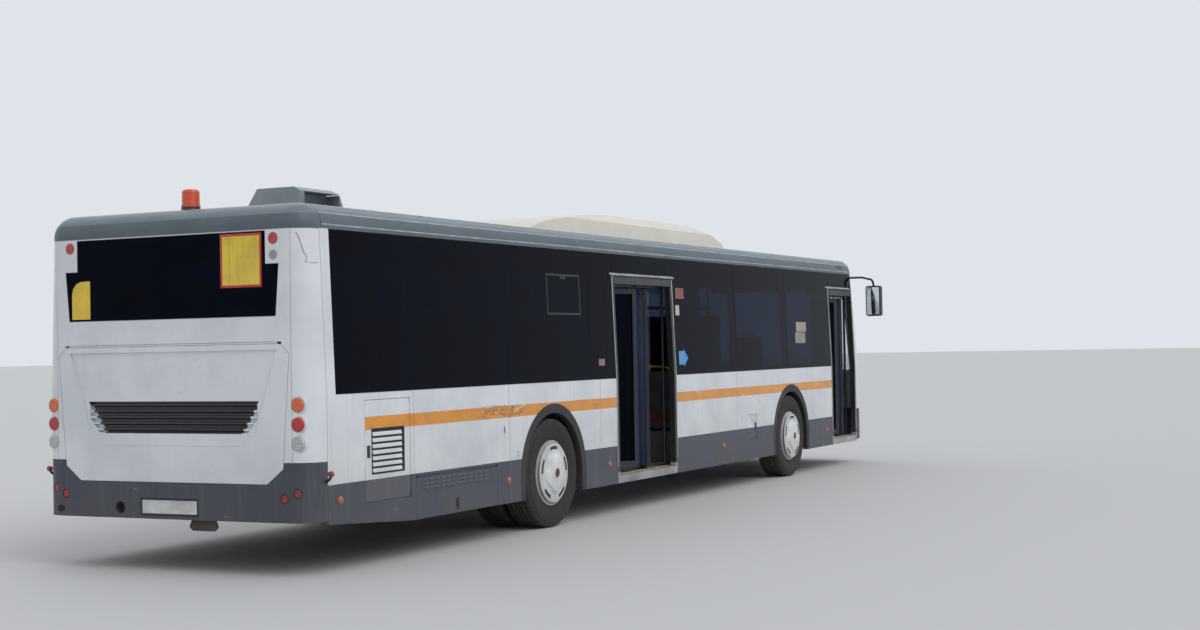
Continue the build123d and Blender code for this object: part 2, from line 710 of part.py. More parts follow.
# The tail's drop posts and tow beam, and a tow socket at each end
drop_x = (high_bars_x[0] - tube / 2, high_bars_x[0] + tube / 2)
tail_cross_z = (tow_z - tube, tow_z + tube)
tail_drop = block(*drop_x, *rail_sides, tail_cross_z[1] + seat_gap, high_rail_z[0] - seat_gap)
tail_socket_x = (tail_x + wall + running_gap, high_bars_x[0])
nose_socket_x = (low_bars_x[-1], nose_x - wall - nose_bow - running_gap)
tail_beam = cross_bar(high_bars_x[0], tow_y + tube, *tail_cross_z)
tail_beam = tail_beam + rod_x(tow_outer, *tail_socket_x, tow_y, tow_z)
tail_beam = tail_beam - rod_x(tow_bore, tail_socket_x[0] - 1, tail_socket_x[0] + tow_depth, tow_y, tow_z)
nose_post_x = (nose_socket_x[0] - tube / 2, nose_socket_x[0] + tube / 2)
nose_beam = block(*nose_post_x, -tow_y - tube, -outer_y, *low_rail_z)
nose_beam = nose_beam + rod_x(tow_outer, nose_post_x[1] + seat_gap, nose_socket_x[1], -tow_y, nose_tow_z)
nose_web_x = (nose_post_x[1] - 1, nose_post_x[1] + 1)
nose_beam = nose_beam + block(*nose_web_x, -tow_y - tow_outer, -outer_y, *low_rail_z)
nose_bore_x = (nose_socket_x[1] - tow_depth, nose_socket_x[1] + 1)
nose_beam = nose_beam - rod_x(tow_bore, *nose_bore_x, -tow_y, nose_tow_z)
chassis += both_sides(tail_drop) + [tail_beam, nose_beam]
save("chassis", *chassis)

# Engine: one heavy block standing lengthwise in the tail, carried between the rails
engine_x = spread(-5850, -4720)
engine_z = (430, 1030)
engine_half = rail_y - tube / 2 - seat_gap
save("engine", block(*engine_x, -engine_half, engine_half, *engine_z))

# Axles: a cranked front beam with kingpin bosses, and a rear housing with its drive head
kingpin_y = 1000
kingpin_radius = 24
boss_radius = 48
boss_z = (tyre_radius - 80, tyre_radius + 80)
pin_gap = 0.05
front_beam = [
    (-kingpin_y, boss_z[1] - 40), (-kingpin_y, boss_z[0] + 40), (-820, boss_z[0] + 10), (-720, 205),
    (720, 205), (820, boss_z[0] + 10), (kingpin_y, boss_z[0] + 40), (kingpin_y, boss_z[1] - 40),
    (800, boss_z[1] - 50), (690, 298), (-690, 298), (-800, boss_z[1] - 50),
]
beam_half = 45
front_axle = prism_x(front_beam, front_axle_x - beam_half, front_axle_x + beam_half)
for y in (-kingpin_y, kingpin_y):
    front_axle = front_axle + rod_z(boss_radius, *boss_z, front_axle_x, y)
    front_axle = front_axle - rod_z(kingpin_radius + pin_gap, boss_z[0] - 1, boss_z[1] + 1, front_axle_x, y)
save("front_axle", front_axle)

hub_face_y = 640
housing_radius = 75
head_radius = 210
spindle_radius = 45
spindle_tip_y = 1120
housing = rod_y(housing_radius, -hub_face_y, hub_face_y, rear_axle_x, tyre_radius)
head = rod_y(head_radius, -120, 120, rear_axle_x, tyre_radius)
pinion = rod_x(90, rear_axle_x - 420, rear_axle_x, 0, tyre_radius)
spindles = rod_y(spindle_radius, -spindle_tip_y, spindle_tip_y, rear_axle_x, tyre_radius)
spring_arm = 430
spring_arm_z = (390, 430)
rear_axle = housing + head + pinion + spindles
for shape in both_sides(
    block(rear_axle_x - spring_arm, rear_axle_x + spring_arm,
          rail_y - tube / 2, rail_y + tube / 2, *spring_arm_z)
):
    rear_axle = rear_axle + shape
save("rear_axle", rear_axle)

# Air springs: two-fold rubber bellows, four on the rear axle's arms and two on the front beam
front_spring_y = 575
beam_top_z = 298
fold_radius = 96
waist_radius = 74


def bellows(x, y, z0, z1, scale):
    """A pair of rounded folds between two end plates, as a solid of revolution."""
    step = (z1 - z0) / 4
    outline = [(0, z0), (waist_radius * scale, z0), (fold_radius * scale, z0 + step),
               (waist_radius * scale, z0 + 2 * step), (fold_radius * scale, z0 + 3 * step),
               (waist_radius * scale, z1), (0, z1)]
    profile = make_face(Polyline(*[(radius, 0, z) for radius, z in outline], close=True))
    return Pos(x, y, 0) * revolve(profile, axis=Axis.Z)


springs = []
for x in (rear_axle_x - 330, rear_axle_x + 330):
    springs += both_sides(bellows(x, rail_y, spring_arm_z[1] + seat_gap, high_rail_z[0] - seat_gap, 1))
front_spring_z = (beam_top_z + seat_gap, spring_shelf[2] - seat_gap)
springs += both_sides(bellows(front_axle_x, front_spring_y, *front_spring_z, 0.8))
save("air_springs", *springs)

# Knuckles: a fork over the beam's boss, the kingpin through both, and the wheel's spindle
ear = 28
ear_gap = 1
fork_y = kingpin_y + boss_radius + running_gap
fork_plate = 24
fork_half = 60
stub_radius = 34
stub_tip_y = 1150


def knuckle():
    ear_z = [(boss_z[0] - ear_gap - ear, boss_z[0] - ear_gap),
             (boss_z[1] + ear_gap, boss_z[1] + ear_gap + ear)]
    made = rod_z(kingpin_radius, ear_z[0][0], ear_z[1][1], front_axle_x, kingpin_y)
    for z0, z1 in ear_z:
        made = made + rod_z(boss_radius, z0, z1, front_axle_x, kingpin_y)
        made = made + block(
            front_axle_x - boss_radius, front_axle_x + boss_radius, kingpin_y, fork_y + fork_plate, z0, z1
        )
    plate_x = (front_axle_x - fork_half, front_axle_x + fork_half)
    made = made + block(*plate_x, fork_y, fork_y + fork_plate, ear_z[0][0], ear_z[1][1])
    return made + rod_y(stub_radius, fork_y, stub_tip_y, front_axle_x, tyre_radius)


left_knuckle, right_knuckle = both_sides(knuckle())
save("knuckle_left", left_knuckle)
save("knuckle_right", right_knuckle)

# Tyres: a ring with a flat tread, round shoulders and bulged walls
tread_half = tyre_width / 2 - 28
bead_half = 100
bead_radius = rim_radius + seat_gap
bulge_radius = 370


def tyre(y):
    half = [(0, tyre_radius), (tread_half, tyre_radius - 4), (tyre_width / 2, bulge_radius + 40),
            (tyre_width / 2 - 6, bulge_radius - 40), (bead_half, bead_radius)]
    loop = half + [(-across, radius) for across, radius in reversed(half[1:])]
    section = make_face(Polyline(*[(0, across, radius) for across, radius in loop], close=True))
    ring = revolve(section, axis=Axis.Y)
    return ring


def placed(shape, x, y):
    return Pos(x, y, tyre_radius) * shape


front_tyre_y = tyre_outer_y - tyre_width / 2
inner_tyre_y = tyre_outer_y - tyre_width - twin_gap - tyre_width / 2
front_tyre = placed(tyre(0), front_axle_x, front_tyre_y)
twin_tyres = [placed(tyre(0), rear_axle_x, y) for y in (front_tyre_y, inner_tyre_y)]
for side, sign in (("left", 1), ("right", -1)):
    flip = (lambda shape: shape) if sign == 1 else (lambda shape: mirror(shape, about=Plane.XZ))
    save(f"front_tyre_{side}", flip(front_tyre))
    save(f"rear_tyres_{side}", *[flip(shape) for shape in twin_tyres])

# Wheels: a rim barrel with its disc and hub, behind a domed cover with slots
rim_half = 118
rim_skin = 14
barrel_radius = 262
disc_skin = 16
cover_radius = 272
cover_seat = 12
front_rise = 44
rear_rise = 34
cover_slots = 10
slot_size = (22, 58)
slot_ring = 205
cap_radius = 52


def revolved_y(points):
    """A solid of revolution about Y from an outline of (y, radius) points."""
    return revolve(make_face(Polyline(*[(0, y, radius) for y, radius in points], close=True)), axis=Axis.Y)


def rim(y):
    return revolved_y([
        (y - rim_half, rim_radius), (y - rim_half, rim_radius - rim_skin),
        (y - rim_half + 30, barrel_radius - rim_skin), (y + rim_half - 30, barrel_radius - rim_skin),
        (y + rim_half, rim_radius - rim_skin), (y + rim_half, rim_radius),
        (y + bead_half, rim_radius), (y + bead_half - 18, barrel_radius), (y - bead_half + 18, barrel_radius),
        (y - bead_half, rim_radius),
    ])


def disc(y, bore):
    return revolved_y([
        (y, bore), (y + disc_skin, bore), (y + disc_skin, barrel_radius - 1), (y, barrel_radius - 1),
    ])


def cover(y0, rise):
    """A domed cover standing proud of the rim's edge, with radial slots and a stepped centre cap."""
    dome = [
        (y0, 0), (y0, cover_radius), (y0 + 8, cover_radius), (y0 + rise * 0.5, slot_ring + 36),
        (y0 + rise * 0.72, slot_ring - 40), (y0 + rise * 0.8, cap_radius + 40),
        (y0 + rise, cap_radius + 16), (y0 + rise, 0),
    ]
    made = revolved_y(dome)
    for number in range(cover_slots):
        slot = Pos(0, y0 + rise, slot_ring) * Box(slot_size[0], rise * 1.5, slot_size[1])
        made = made - slot.rotate(Axis.Y, number * 360 / cover_slots)
    return made


def hub(y0, y1, outer_radius, bore):
    return revolved_y([(y0, bore), (y1, bore), (y1, outer_radius), (y0, outer_radius)])


front_rim_y = front_tyre_y
front_hub_y = (fork_y + fork_plate + running_gap, stub_tip_y - 10)
front_bore = stub_radius + pin_gap
front_wheel = rim(front_rim_y) + disc(front_rim_y + 40, front_bore) + hub(*front_hub_y, 110, front_bore)
front_wheel = front_wheel + hub(front_hub_y[0], front_rim_y + 45, 110, front_bore)
cover_y = front_rim_y + rim_half
front_wheel = front_wheel + cover(cover_y - cover_seat, front_rise)
rear_bore = spindle_radius + pin_gap
rear_hub_y = (hub_face_y + running_gap, spindle_tip_y - 20)
rear_wheel = rim(front_rim_y) + rim(inner_tyre_y)
rear_wheel = rear_wheel + disc(front_rim_y - 90, rear_bore) + disc(inner_tyre_y + 74, rear_bore)
rear_wheel = rear_wheel + hub(*rear_hub_y, 120, rear_bore) + cover(cover_y - cover_seat, rear_rise)
for side, shapes in zip(("left", "right"), zip(both_sides(front_wheel), both_sides(rear_wheel))):
    front, rear = (placed(shape, x, 0) for shape, x in zip(shapes, (front_axle_x, rear_axle_x)))
    save(f"front_wheel_{side}", front)
    save(f"rear_wheel_{side}", rear)

# Doors: each leaf hangs at its middle on two crank arms from a turning pillar behind the jamb,
# and a roller at its leading edge runs in the header's guide, so that it glides inwards
pillar_u = -38
pillar_radius = 15
linkage_depth = 143
leaf_inner = 58
leaf_outer = 93
leaf_trail = 46
guide_lead = 31
leaf_edge_gap = 8
rest_angle = 28
leaf_z = (395, 2130)
arm_thickness = 14
arm_half = 16
arm_gap = 5
lug_height = 22
lug_radius = 20
door_pin = 8
roller_radius = 9
leaf_frame = 48
guide_z = (2153, 2170)
guide_wall = 8
header_depth = 330
header_top_z = 2400
gutter = 6


def door_sizes(doorway):
    """Leaf width, and the distance from pillar to guide roller when shut."""
    leaf = (doorway[1] - doorway[0]) / 2 - 1.5 * leaf_edge_gap
    return leaf, leaf + leaf_trail - guide_lead


def door_leaf(doorway, jamb, hand):
    """One leaf, its pane and its pillar; hand is 1 where the leaf opens from its rear jamb."""
    leaf, reach = door_sizes(doorway)
    half = reach / 2
    turn = math.radians(rest_angle)
    pillar_at = (jamb + hand * pillar_u, -half_width + linkage_depth)
    pin_at = (pillar_at[0] + hand * half * math.cos(turn), pillar_at[1] + half * math.sin(turn))
    leaf_place = Pos(*pin_at, 0) * Rot(0, 0, -hand * rest_angle)
    arm_place = Pos(*pillar_at, 0) * Rot(0, 0, rest_angle if hand == 1 else 180 - rest_angle)
    low_arm = (leaf_z[0] - arm_gap - arm_thickness, leaf_z[0] - arm_gap)
    high_arm = (leaf_z[1] + arm_gap, leaf_z[1] + arm_gap + arm_thickness)

    # The leaf, in its own frame: the pin at the origin, the outer face towards -Y
    x0, x1 = sorted((hand * (leaf_trail - half), hand * (leaf_trail + leaf - half)))
    frame = block(x0, x1, -leaf_outer, -leaf_inner, *leaf_z)
    window = (x0 + leaf_frame, x1 - leaf_frame, leaf_z[0] + leaf_frame + 20, leaf_z[1] - leaf_frame)
    frame = frame - block(window[0], window[1], -leaf_outer - 1, -leaf_inner + 1, window[2], window[3])
    for z0, z1 in ((leaf_z[0], leaf_z[0] + lug_height), (leaf_z[1] - lug_height, leaf_z[1])):
        lug = rod_z(lug_radius, z0, z1, 0, 0) + block(-lug_radius, lug_radius, -leaf_inner, 0, z0, z1)
        frame = frame + lug
    roller_x = hand * half
    top_z = leaf_z[1] - lug_height
    roller_ear_x = (roller_x - lug_radius, roller_x + lug_radius)
    frame = frame + block(*roller_ear_x, -leaf_inner, lug_radius, top_z, leaf_z[1])
    frame = frame + rod_z(roller_radius, top_z, guide_z[1] - arm_gap, roller_x, 0)
    for z0, z1 in ((leaf_z[0] - 1, leaf_z[0] + lug_height - 4), (leaf_z[1] - lug_height + 4, leaf_z[1] + 1)):
        frame = frame - rod_z(door_pin + pin_gap, z0, z1, 0, 0)
    middle = -(leaf_outer + leaf_inner) / 2
    pane = block(
        window[0] + seat_gap, window[1] - seat_gap, middle - glass / 2, middle + glass / 2,
        window[2] + seat_gap, window[3] - seat_gap,
    )

    # The pillar, in its own frame: the turning axis at the origin, the arms along +X
    pillar = rod_z(pillar_radius, low_floor_z + seat_gap, header_bottom_z - seat_gap, 0, 0)
    for z0, z1 in (low_arm, high_arm):
        pillar = pillar + block(0, half, -arm_half, arm_half, z0, z1) + rod_z(arm_half, z0, z1, half, 0)
    pillar = pillar + rod_z(door_pin, low_arm[1], leaf_z[0] + lug_height - 8, half, 0)
    pillar = pillar + rod_z(door_pin, leaf_z[1] - lug_height + 8, high_arm[0], half, 0)
    return leaf_place * frame, leaf_place * pane, arm_place * pillar, pillar_at, pin_at


header_bottom_z = door_head_z + 8
doors = {"mid": mid_door_x, "front": front_door_x}
for name, doorway in doors.items():
    for end, jamb, hand in (("rear", doorway[0], 1), ("front", doorway[1], -1)):
        frame, pane, pillar, pillar_at, pin_at = door_leaf(doorway, jamb, hand)
        save(f"{name}_door_{end}_leaf", frame)
        save(f"{name}_door_{end}_glass", pane)
        save(f"{name}_door_{end}_pillar", pillar)

# Door surrounds: a dark lip round each doorway, a sill, a gutter, and the door gear's cover with its guide
def door_surround(doorway):
    x0, x1 = doorway
    lip = shell & block(x0 - door_lip + seam, x1 + door_lip - seam, *right_y, skirt_z, lip_z - seam)
    opening = block(x0, x1, -outside, 0, door_sill_z, door_head_z)
    cover_x = (x0 - door_lip, x1 + door_lip)
    cover = block(*cover_x, -inside + seat_gap, -half_width + header_depth, header_bottom_z, header_top_z)
    guide_y = -half_width + linkage_depth
    leaf, reach = door_sizes(doorway)
    tracks = []
    for jamb, hand in ((x0, 1), (x1, -1)):
        far = jamb + hand * (pillar_u + reach + roller_radius + 2)
        near = jamb + hand * 20
        track_x = sorted((near, far))
        wide = roller_radius + 1 + guide_wall
        track = block(*track_x, guide_y - wide, guide_y + wide, guide_z[0], header_bottom_z)
        groove = block(
            track_x[0] - 1, track_x[1] + 1, guide_y - roller_radius - 1, guide_y + roller_radius + 1,
            guide_z[0] - 1, guide_z[1],
        )
        tracks.append(track - groove)
    made = lip - opening + (cover & cavity)
    for track in tracks:
        made = made + track
    return made


save("door_surrounds", *[door_surround(doorway) for doorway in doors.values()])

# Roof gear: the air conditioner's hump, the air intake's hood, a beacon and two hatches
unit_x = spread(-2300, 2560)
unit_half = 750
unit_top_z = 2950
unit_gap = seat_gap
unit_hump = [(-2300, 0), (-1700, 0.44), (-900, 0.76), (-100, 0.92), (900, 1),
             (1500, 1), (1960, 0.93), (2280, 0.62), (2560, 0.3), (2560, 0)]
unit_side = [(along(x), share) for x, share in unit_hump]
unit_rise = unit_top_z - roof_z
edge_run = 60
shoulder_run = 210
crown_half = 300
unit_face = [(-unit_half, 0), (-unit_half + edge_run, 0.62), (-unit_half + shoulder_run, 0.92),
             (-crown_half, 1), (crown_half, 1), (unit_half - shoulder_run, 0.92),
             (unit_half - edge_run, 0.62), (unit_half, 0)]
unit_base_z = roof_z + unit_gap
side_view = prism_y([(x, unit_base_z + share * unit_rise) for x, share in unit_side], -unit_half, unit_half)
end_view = prism_x([(y, unit_base_z + share * unit_rise) for y, share in unit_face], *unit_x)
unit = side_view & end_view
slot_size = (34, 2 * unit_half - 2 * shoulder_run, 60)
slot_rows = [(440, 0.86), (350, 0.66), (260, 0.46), (170, 0.26)]
for from_front, share in slot_rows:
    slot_at = (unit_x[1] - from_front, 0, unit_base_z + unit_rise * share)
    unit = unit - Pos(*slot_at) * Box(*slot_size)
save("ac_unit", unit)

hood_x = spread(-5757, -5247)
hood_y = (-860, -400)
hood_z = 2790
hood_base_z = roof_z + seat_gap
hood_edge = (60, 30)
hood_rake = 40
hood_lean = 70
mouth_depth = 120
mouth_side = 50
mouth_sill = 20
hood_profile = [(hood_y[0], hood_base_z), (hood_y[0], hood_z - hood_edge[1]),
                (hood_y[0] + hood_edge[0], hood_z), (hood_y[1] - hood_lean, hood_z), (hood_y[1], hood_base_z)]
hood_length = [(hood_x[0] - hood_rake, hood_base_z), (hood_x[0], hood_z),
               (hood_x[1] - hood_rake, hood_z), (hood_x[1] + hood_rake, hood_base_z)]
hood = prism_x(hood_profile, hood_x[0] - hood_rake, hood_x[1] + hood_rake) & prism_y(hood_length, *hood_y)
mouth_x = (hood_x[0] + mouth_side, hood_x[1] - mouth_sill)
mouth_z = (hood_base_z + mouth_sill, hood_z - hood_edge[1] - 4)
mouth = block(*mouth_x, hood_y[0] - 1, hood_y[0] + mouth_depth, *mouth_z)
save("intake_hood", hood - mouth)

beacon_at = (along(-5940), 0)
beacon_radius = 66
beacon_z = 2800
beacon_base = (6, 40)
beacon_round = 24
beacon_foot = rod_z(beacon_radius + beacon_base[0], roof_z + seat_gap, roof_z + beacon_base[1], *beacon_at)
beacon_dome = rod_z(beacon_radius, roof_z + beacon_base[1], beacon_z, *beacon_at)
beacon_dome = fillet(beacon_dome.edges().group_by(Axis.Z)[-1], beacon_round)
save("beacon", beacon_foot + beacon_dome)

hatch_size = (760, 620, 45)
lid_chamfer = 20
roof_hatches = []
for x in spread(-3900, 4100):
    lid = Pos(x, 0, roof_z + seat_gap + hatch_size[2] / 2) * Box(*hatch_size)
    roof_hatches.append(chamfer(lid.edges().group_by(Axis.Z)[-1], lid_chamfer))
save("roof_hatches", *roof_hatches)

# Mirrors: a curved arm from each front corner of the roof, with a tall head hung from its end
mirror_path = [(nose_x - 410, 1120, 2415), (nose_x - 270, 1300, 2420), (nose_x - 120, 1400, 2390),
               (nose_x - 100, 1410, 2300)]
mirror_arm = 14
mirror_bend = 60
head_size = (90, 200, 400)
head_top = 2310
mirrors = []
route = FilletPolyline(*mirror_path, radius=mirror_bend)
arm_section = Plane(origin=route @ 0, z_dir=route % 0) * Circle(mirror_arm)
arm = sweep(arm_section, path=route)
head = Pos(mirror_path[-1][0], mirror_path[-1][1], head_top - head_size[2] / 2) * Box(*head_size)
head = fillet(head.edges().filter_by(Axis.X), 30)
mirror_piece = arm + head
mirror_piece = mirror_piece - body(-seat_gap)
save("mirrors", *both_sides(mirror_piece))

# Seats: one moulded form on a pedestal, in rows of (x, base height, places across)
seat_side = [(215, 400), (230, 440), (195, 465), (-165, 430), (-232, 1010), (-268, 1010), (-222, 400)]
seat_half = 212
squab_z = 470
back_top_z = 1100
pedestal = (70, 45)
window_seat = 960
aisle_seat = 520
box_seat = 880
bench_seats = [-920, -460, 0, 460, 920]
pairs = [-window_seat, -aisle_seat, aisle_seat, window_seat]
cushion_z = 400
low_seat = side_podium_z - cushion_z
front_seat = front_box_z - cushion_z
rear_seat = rear_box_z - cushion_z
seat_rows = [
    (along(430), low_seat, [-window_seat, window_seat]),
    (along(1180), low_seat, [-window_seat, window_seat]),
    (along(1850), low_seat, [-window_seat, window_seat]),
    (front_axle_x - 273, front_seat, [-box_seat, box_seat]),
    (rear_axle_x + 687, high_floor_z, pairs),
    (rear_axle_x + 157, rear_seat, [-box_seat, box_seat]),
    (rear_axle_x - 363, rear_seat, [-box_seat, box_seat]),
    (along(-3640), high_floor_z, pairs),
    (along(-4330), high_floor_z, pairs),
    (along(-5050), tail_podium_z, pairs),
    (along(-5720), tail_podium_z, bench_seats),
]
driver_seat = (nose_x - 1220, 560, [620])


def seat(x, base_z, y):
    """The squab and the back of one seat."""
    form = prism_y([(x + along, base_z + z) for along, z in seat_side], y - seat_half, y + seat_half)
    zone = (x - 2 * seat_half, x + 2 * seat_half, y - seat_half, y + seat_half)
    split_z = base_z + squab_z
    return form & block(*zone, base_z, split_z), form & block(*zone, split_z + seat_gap, base_z + back_top_z)


def pedestal_leg(x, base_z, y):
    leg_x = (x - pedestal[0], x + pedestal[0])
    return block(*leg_x, y - pedestal[1], y + pedestal[1], base_z + seat_gap, base_z + cushion_z)


seats = []
boxed = (low_seat, front_seat, rear_seat)
for x, base_z, places in seat_rows + [driver_seat]:
    for y in places:
        squab, back = seat(x, base_z, y)
        if base_z in boxed:
            seats += [Pos(0, 0, seat_gap) * squab, Pos(0, 0, seat_gap) * back]
        else:
            seats += [squab + pedestal_leg(x, base_z, y), back]
save("seats", *seats)

# Handrails: upright poles joined by a rail overhead, along the low aisle and the raised one
pole = 17
ceiling_z = roof_z - wall - seat_gap
rail_z = 1980
rail_runs = [
    (spread(150, 1220, 2290), 640, low_floor_z),
    (spread(-4620, -3230, -1600), 285, high_floor_z),
]
rail_start = pole + seat_gap
handrails = []
for pole_x, y, base_z in rail_runs:
    for x in pole_x:
        handrails += both_sides(rod_z(pole, base_z + seat_gap, ceiling_z, x, y))
    for x0, x1 in zip(pole_x, pole_x[1:]):
        handrails += both_sides(rod_x(pole, x0 + rail_start, x1 - rail_start, y, rail_z))
save("handrails", *handrails)

# Driver's place: a raised platform, a partition, the dashboard and the steering column
cab_x = (nose_x - 1640, nose_x - 460)
cab_y = (180, 1160)
platform_z = 560
partition_z = 1950
dash_x = nose_x - 560
dash_side = [(dash_x, 700), (dash_x, 1060), (dash_x + 80, 1150), (dash_x + 320, 1130), (dash_x + 320, 700)]
dash_y = (-250, 1000)
wheel_at = (nose_x - 700, 620, 1240)
column_tilt = 25
column_radius = 35
wheel_ring = 225
ring_tube = 15
hub_radius = 60
steer_pin = 14

platform = block(*cab_x, *cab_y, low_floor_z + seat_gap, platform_z)
board = 40
under_y = (cab_y[0] + board, cab_y[1] - board)
under = block(cab_x[0] + board, cab_x[1] - board, *under_y, low_floor_z, platform_z - board)
platform = platform - under
partition = block(cab_x[0], cab_x[0] + board, *cab_y, low_floor_z + seat_gap, partition_z)
dash = prism_y(dash_side, *dash_y) & cavity
leg_x = (dash_x + 60, dash_x + 260)
leg_y = (cab_y[0], 860)
dash_leg = block(*leg_x, *leg_y, low_floor_z + seat_gap, dash_side[0][1])
tilt = math.radians(column_tilt)
steer_frame = Plane(wheel_at, x_dir=(0, 1, 0), z_dir=(-math.sin(tilt), 0, math.cos(tilt)))
column_length = 560
column_drop = 50
pin_length = 60
tube_at = Pos(0, 0, -column_drop - column_length / 2)
column = steer_frame * (tube_at * Cylinder(column_radius, column_length))
column = column + steer_frame * (Pos(0, 0, -pin_length / 2) * Cylinder(steer_pin, pin_length))
cab = platform + partition + dash + dash_leg + column
save("cab_fittings", cab)
ring = Torus(wheel_ring, ring_tube)
spoke = (40, 16)
spoke_z = -20
hub_z = -15
hub_length = 40
cross_spoke = Pos(0, 0, spoke_z) * Box(2 * wheel_ring - ring_tube, *spoke)
low_spoke = Pos(0, -wheel_ring / 2, spoke_z) * Box(spoke[0], wheel_ring - ring_tube, spoke[1])
steering = ring + cross_spoke + low_spoke + Pos(0, 0, hub_z) * Cylinder(hub_radius, hub_length)
steering = steering - Pos(0, 0, -pin_length / 2) * Cylinder(steer_pin + pin_gap, pin_length + 1)
save("steering_wheel", steer_frame * steering)
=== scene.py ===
import math

import bmesh
import bpy
from mathutils import Matrix, Vector


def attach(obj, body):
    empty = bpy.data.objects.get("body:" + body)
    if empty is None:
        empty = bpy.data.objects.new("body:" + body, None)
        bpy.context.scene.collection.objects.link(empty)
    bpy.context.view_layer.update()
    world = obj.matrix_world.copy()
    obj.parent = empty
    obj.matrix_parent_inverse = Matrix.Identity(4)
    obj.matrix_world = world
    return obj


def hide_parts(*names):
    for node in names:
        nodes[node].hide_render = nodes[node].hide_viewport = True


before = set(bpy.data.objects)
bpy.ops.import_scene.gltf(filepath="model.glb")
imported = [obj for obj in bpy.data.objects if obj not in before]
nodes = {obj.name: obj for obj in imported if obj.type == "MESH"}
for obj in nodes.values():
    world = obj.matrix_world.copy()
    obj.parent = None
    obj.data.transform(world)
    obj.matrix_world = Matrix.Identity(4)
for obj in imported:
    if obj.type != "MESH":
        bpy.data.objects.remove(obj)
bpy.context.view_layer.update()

# Camera: it stands behind the bus, off its right rear corner, at the height of a standing
# person's eyes, and looks a little upwards. Place and lens come from the fit to the photograph.
def linked(name, data):
    piece = bpy.data.objects.new(name, data)
    bpy.context.scene.collection.objects.link(piece)
    return piece


camera_place = Vector((-16.065, -8.448, 1.586))
yaw, pitch, roll = (math.radians(angle) for angle in (26.61, 1.01, -1.07))
ahead = Vector((math.cos(pitch) * math.cos(yaw), math.cos(pitch) * math.sin(yaw), math.sin(pitch)))
rightward = Vector((math.sin(yaw), -math.cos(yaw), 0))
upward = rightward.cross(ahead)
camera_right = rightward * math.cos(roll) + upward * math.sin(roll)
camera_up = upward * math.cos(roll) - rightward * math.sin(roll)
camera_data = bpy.data.cameras.new("camera")
camera_data.lens = 52.0
camera_data.sensor_width = 36.0
camera = linked("camera", camera_data)
camera_turn = Matrix((camera_right, camera_up, -ahead)).transposed()
camera.matrix_world = Matrix.Translation(camera_place) @ camera_turn.to_4x4()
bpy.context.scene.camera = camera
bpy.context.scene.view_settings.view_transform = "Standard"


# Studio: a plain pale floor, an even pale sky, one broad soft lamp high over the right side, so that
# the tail lies in half shade, and a weaker one from the left front, so that no side goes black.
bench = {}


def shade(*parts):
    """A display colour (0 to 255) as the linear colour that the shaders take."""
    linear = [((part / 255 + 0.055) / 1.055) ** 2.4 if part > 10 else part / 255 / 12.92 for part in parts]
    return (*linear, 1.0)


def fed(made, inputs):
    """Links sockets to a node's inputs, and sets the other values."""
    for key, value in inputs.items():
        if isinstance(value, bpy.types.NodeSocket):
            made.id_data.links.new(value, made.inputs[key])
        else:
            made.inputs[key].default_value = value
    return made


def put(kind, inputs=None, **properties):
    """Places a shader node in the tree that lies on the bench."""
    made = bench["tree"].nodes.new("ShaderNode" + kind)
    for key, value in properties.items():
        setattr(made, key, value)
    return fed(made, inputs or {})


def maths(operation, *values):
    return put("Math", dict(enumerate(values)), operation=operation).outputs[0]


def blended(mask, first, second):
    return put("Mix", {0: mask, 6: first, 7: second}, data_type="RGBA").outputs[2]


def new_look(name, rough, coat=0.0, **more):
    """Lays a new material on the bench. More sets other inputs of its shader, with _ for a space."""
    look = bpy.data.materials.new(name)
    look.use_nodes = True
    bench.update(look=look, tree=look.node_tree, shader=look.node_tree.nodes["Principled BSDF"])
    fed(bench["shader"], {"Roughness": rough, "Coat Weight": coat})
    fed(bench["shader"], {label.replace("_", " "): value for label, value in more.items()})


def finish(colour, height=None, depth=0.001, normal=None, rough=None):
    """Wires up the look that lies on the bench, and hands it over."""
    if height is not None:
        bump = put("Bump", {"Height": height, "Distance": depth, "Strength": 1.0})
        if normal is not None:
            fed(bump, {"Normal": normal})
        normal = bump.outputs[0]
    wires = {"Base Color": colour, "Roughness": rough, "Normal": normal}
    fed(bench["shader"], {label: wire for label, wire in wires.items() if wire is not None})
    return bench["look"]


bpy.ops.object.select_all(action="DESELECT")
bpy.ops.mesh.primitive_plane_add(size=400, location=(0, 0, 0))
floor = bpy.context.object
floor.name = "studio_floor"
new_look("studio_floor", 0.8, Specular_IOR_Level=0.2)
floor_grain = put("TexNoise", {"Scale": 1.2, "Detail": 6.0}).outputs["Fac"]
floor.data.materials.append(finish(blended(floor_grain, shade(196, 197, 198), shade(204, 204, 204))))

sky = bpy.data.worlds.new("even_sky")
bpy.context.scene.world = sky
sky.use_nodes = True
sky.node_tree.nodes.clear()
bench["tree"] = sky.node_tree
sky_rays = put("LightPath")
sky_seen = maths("MAXIMUM", sky_rays.outputs["Is Camera Ray"], sky_rays.outputs["Is Transmission Ray"])
sky_shine = maths("MAXIMUM", sky_seen, sky_rays.outputs["Is Glossy Ray"])
sky_light = put("Background", {"Color": (0.93, 0.96, 1.0, 1.0), "Strength": 0.62})
sky_back = put("Background", {"Color": shade(222, 228, 234), "Strength": 1.0})
sky_mix = put("MixShader", {0: sky_shine, 1: sky_light.outputs[0], 2: sky_back.outputs[0]})
put("OutputWorld", {"Surface": sky_mix.outputs[0]})

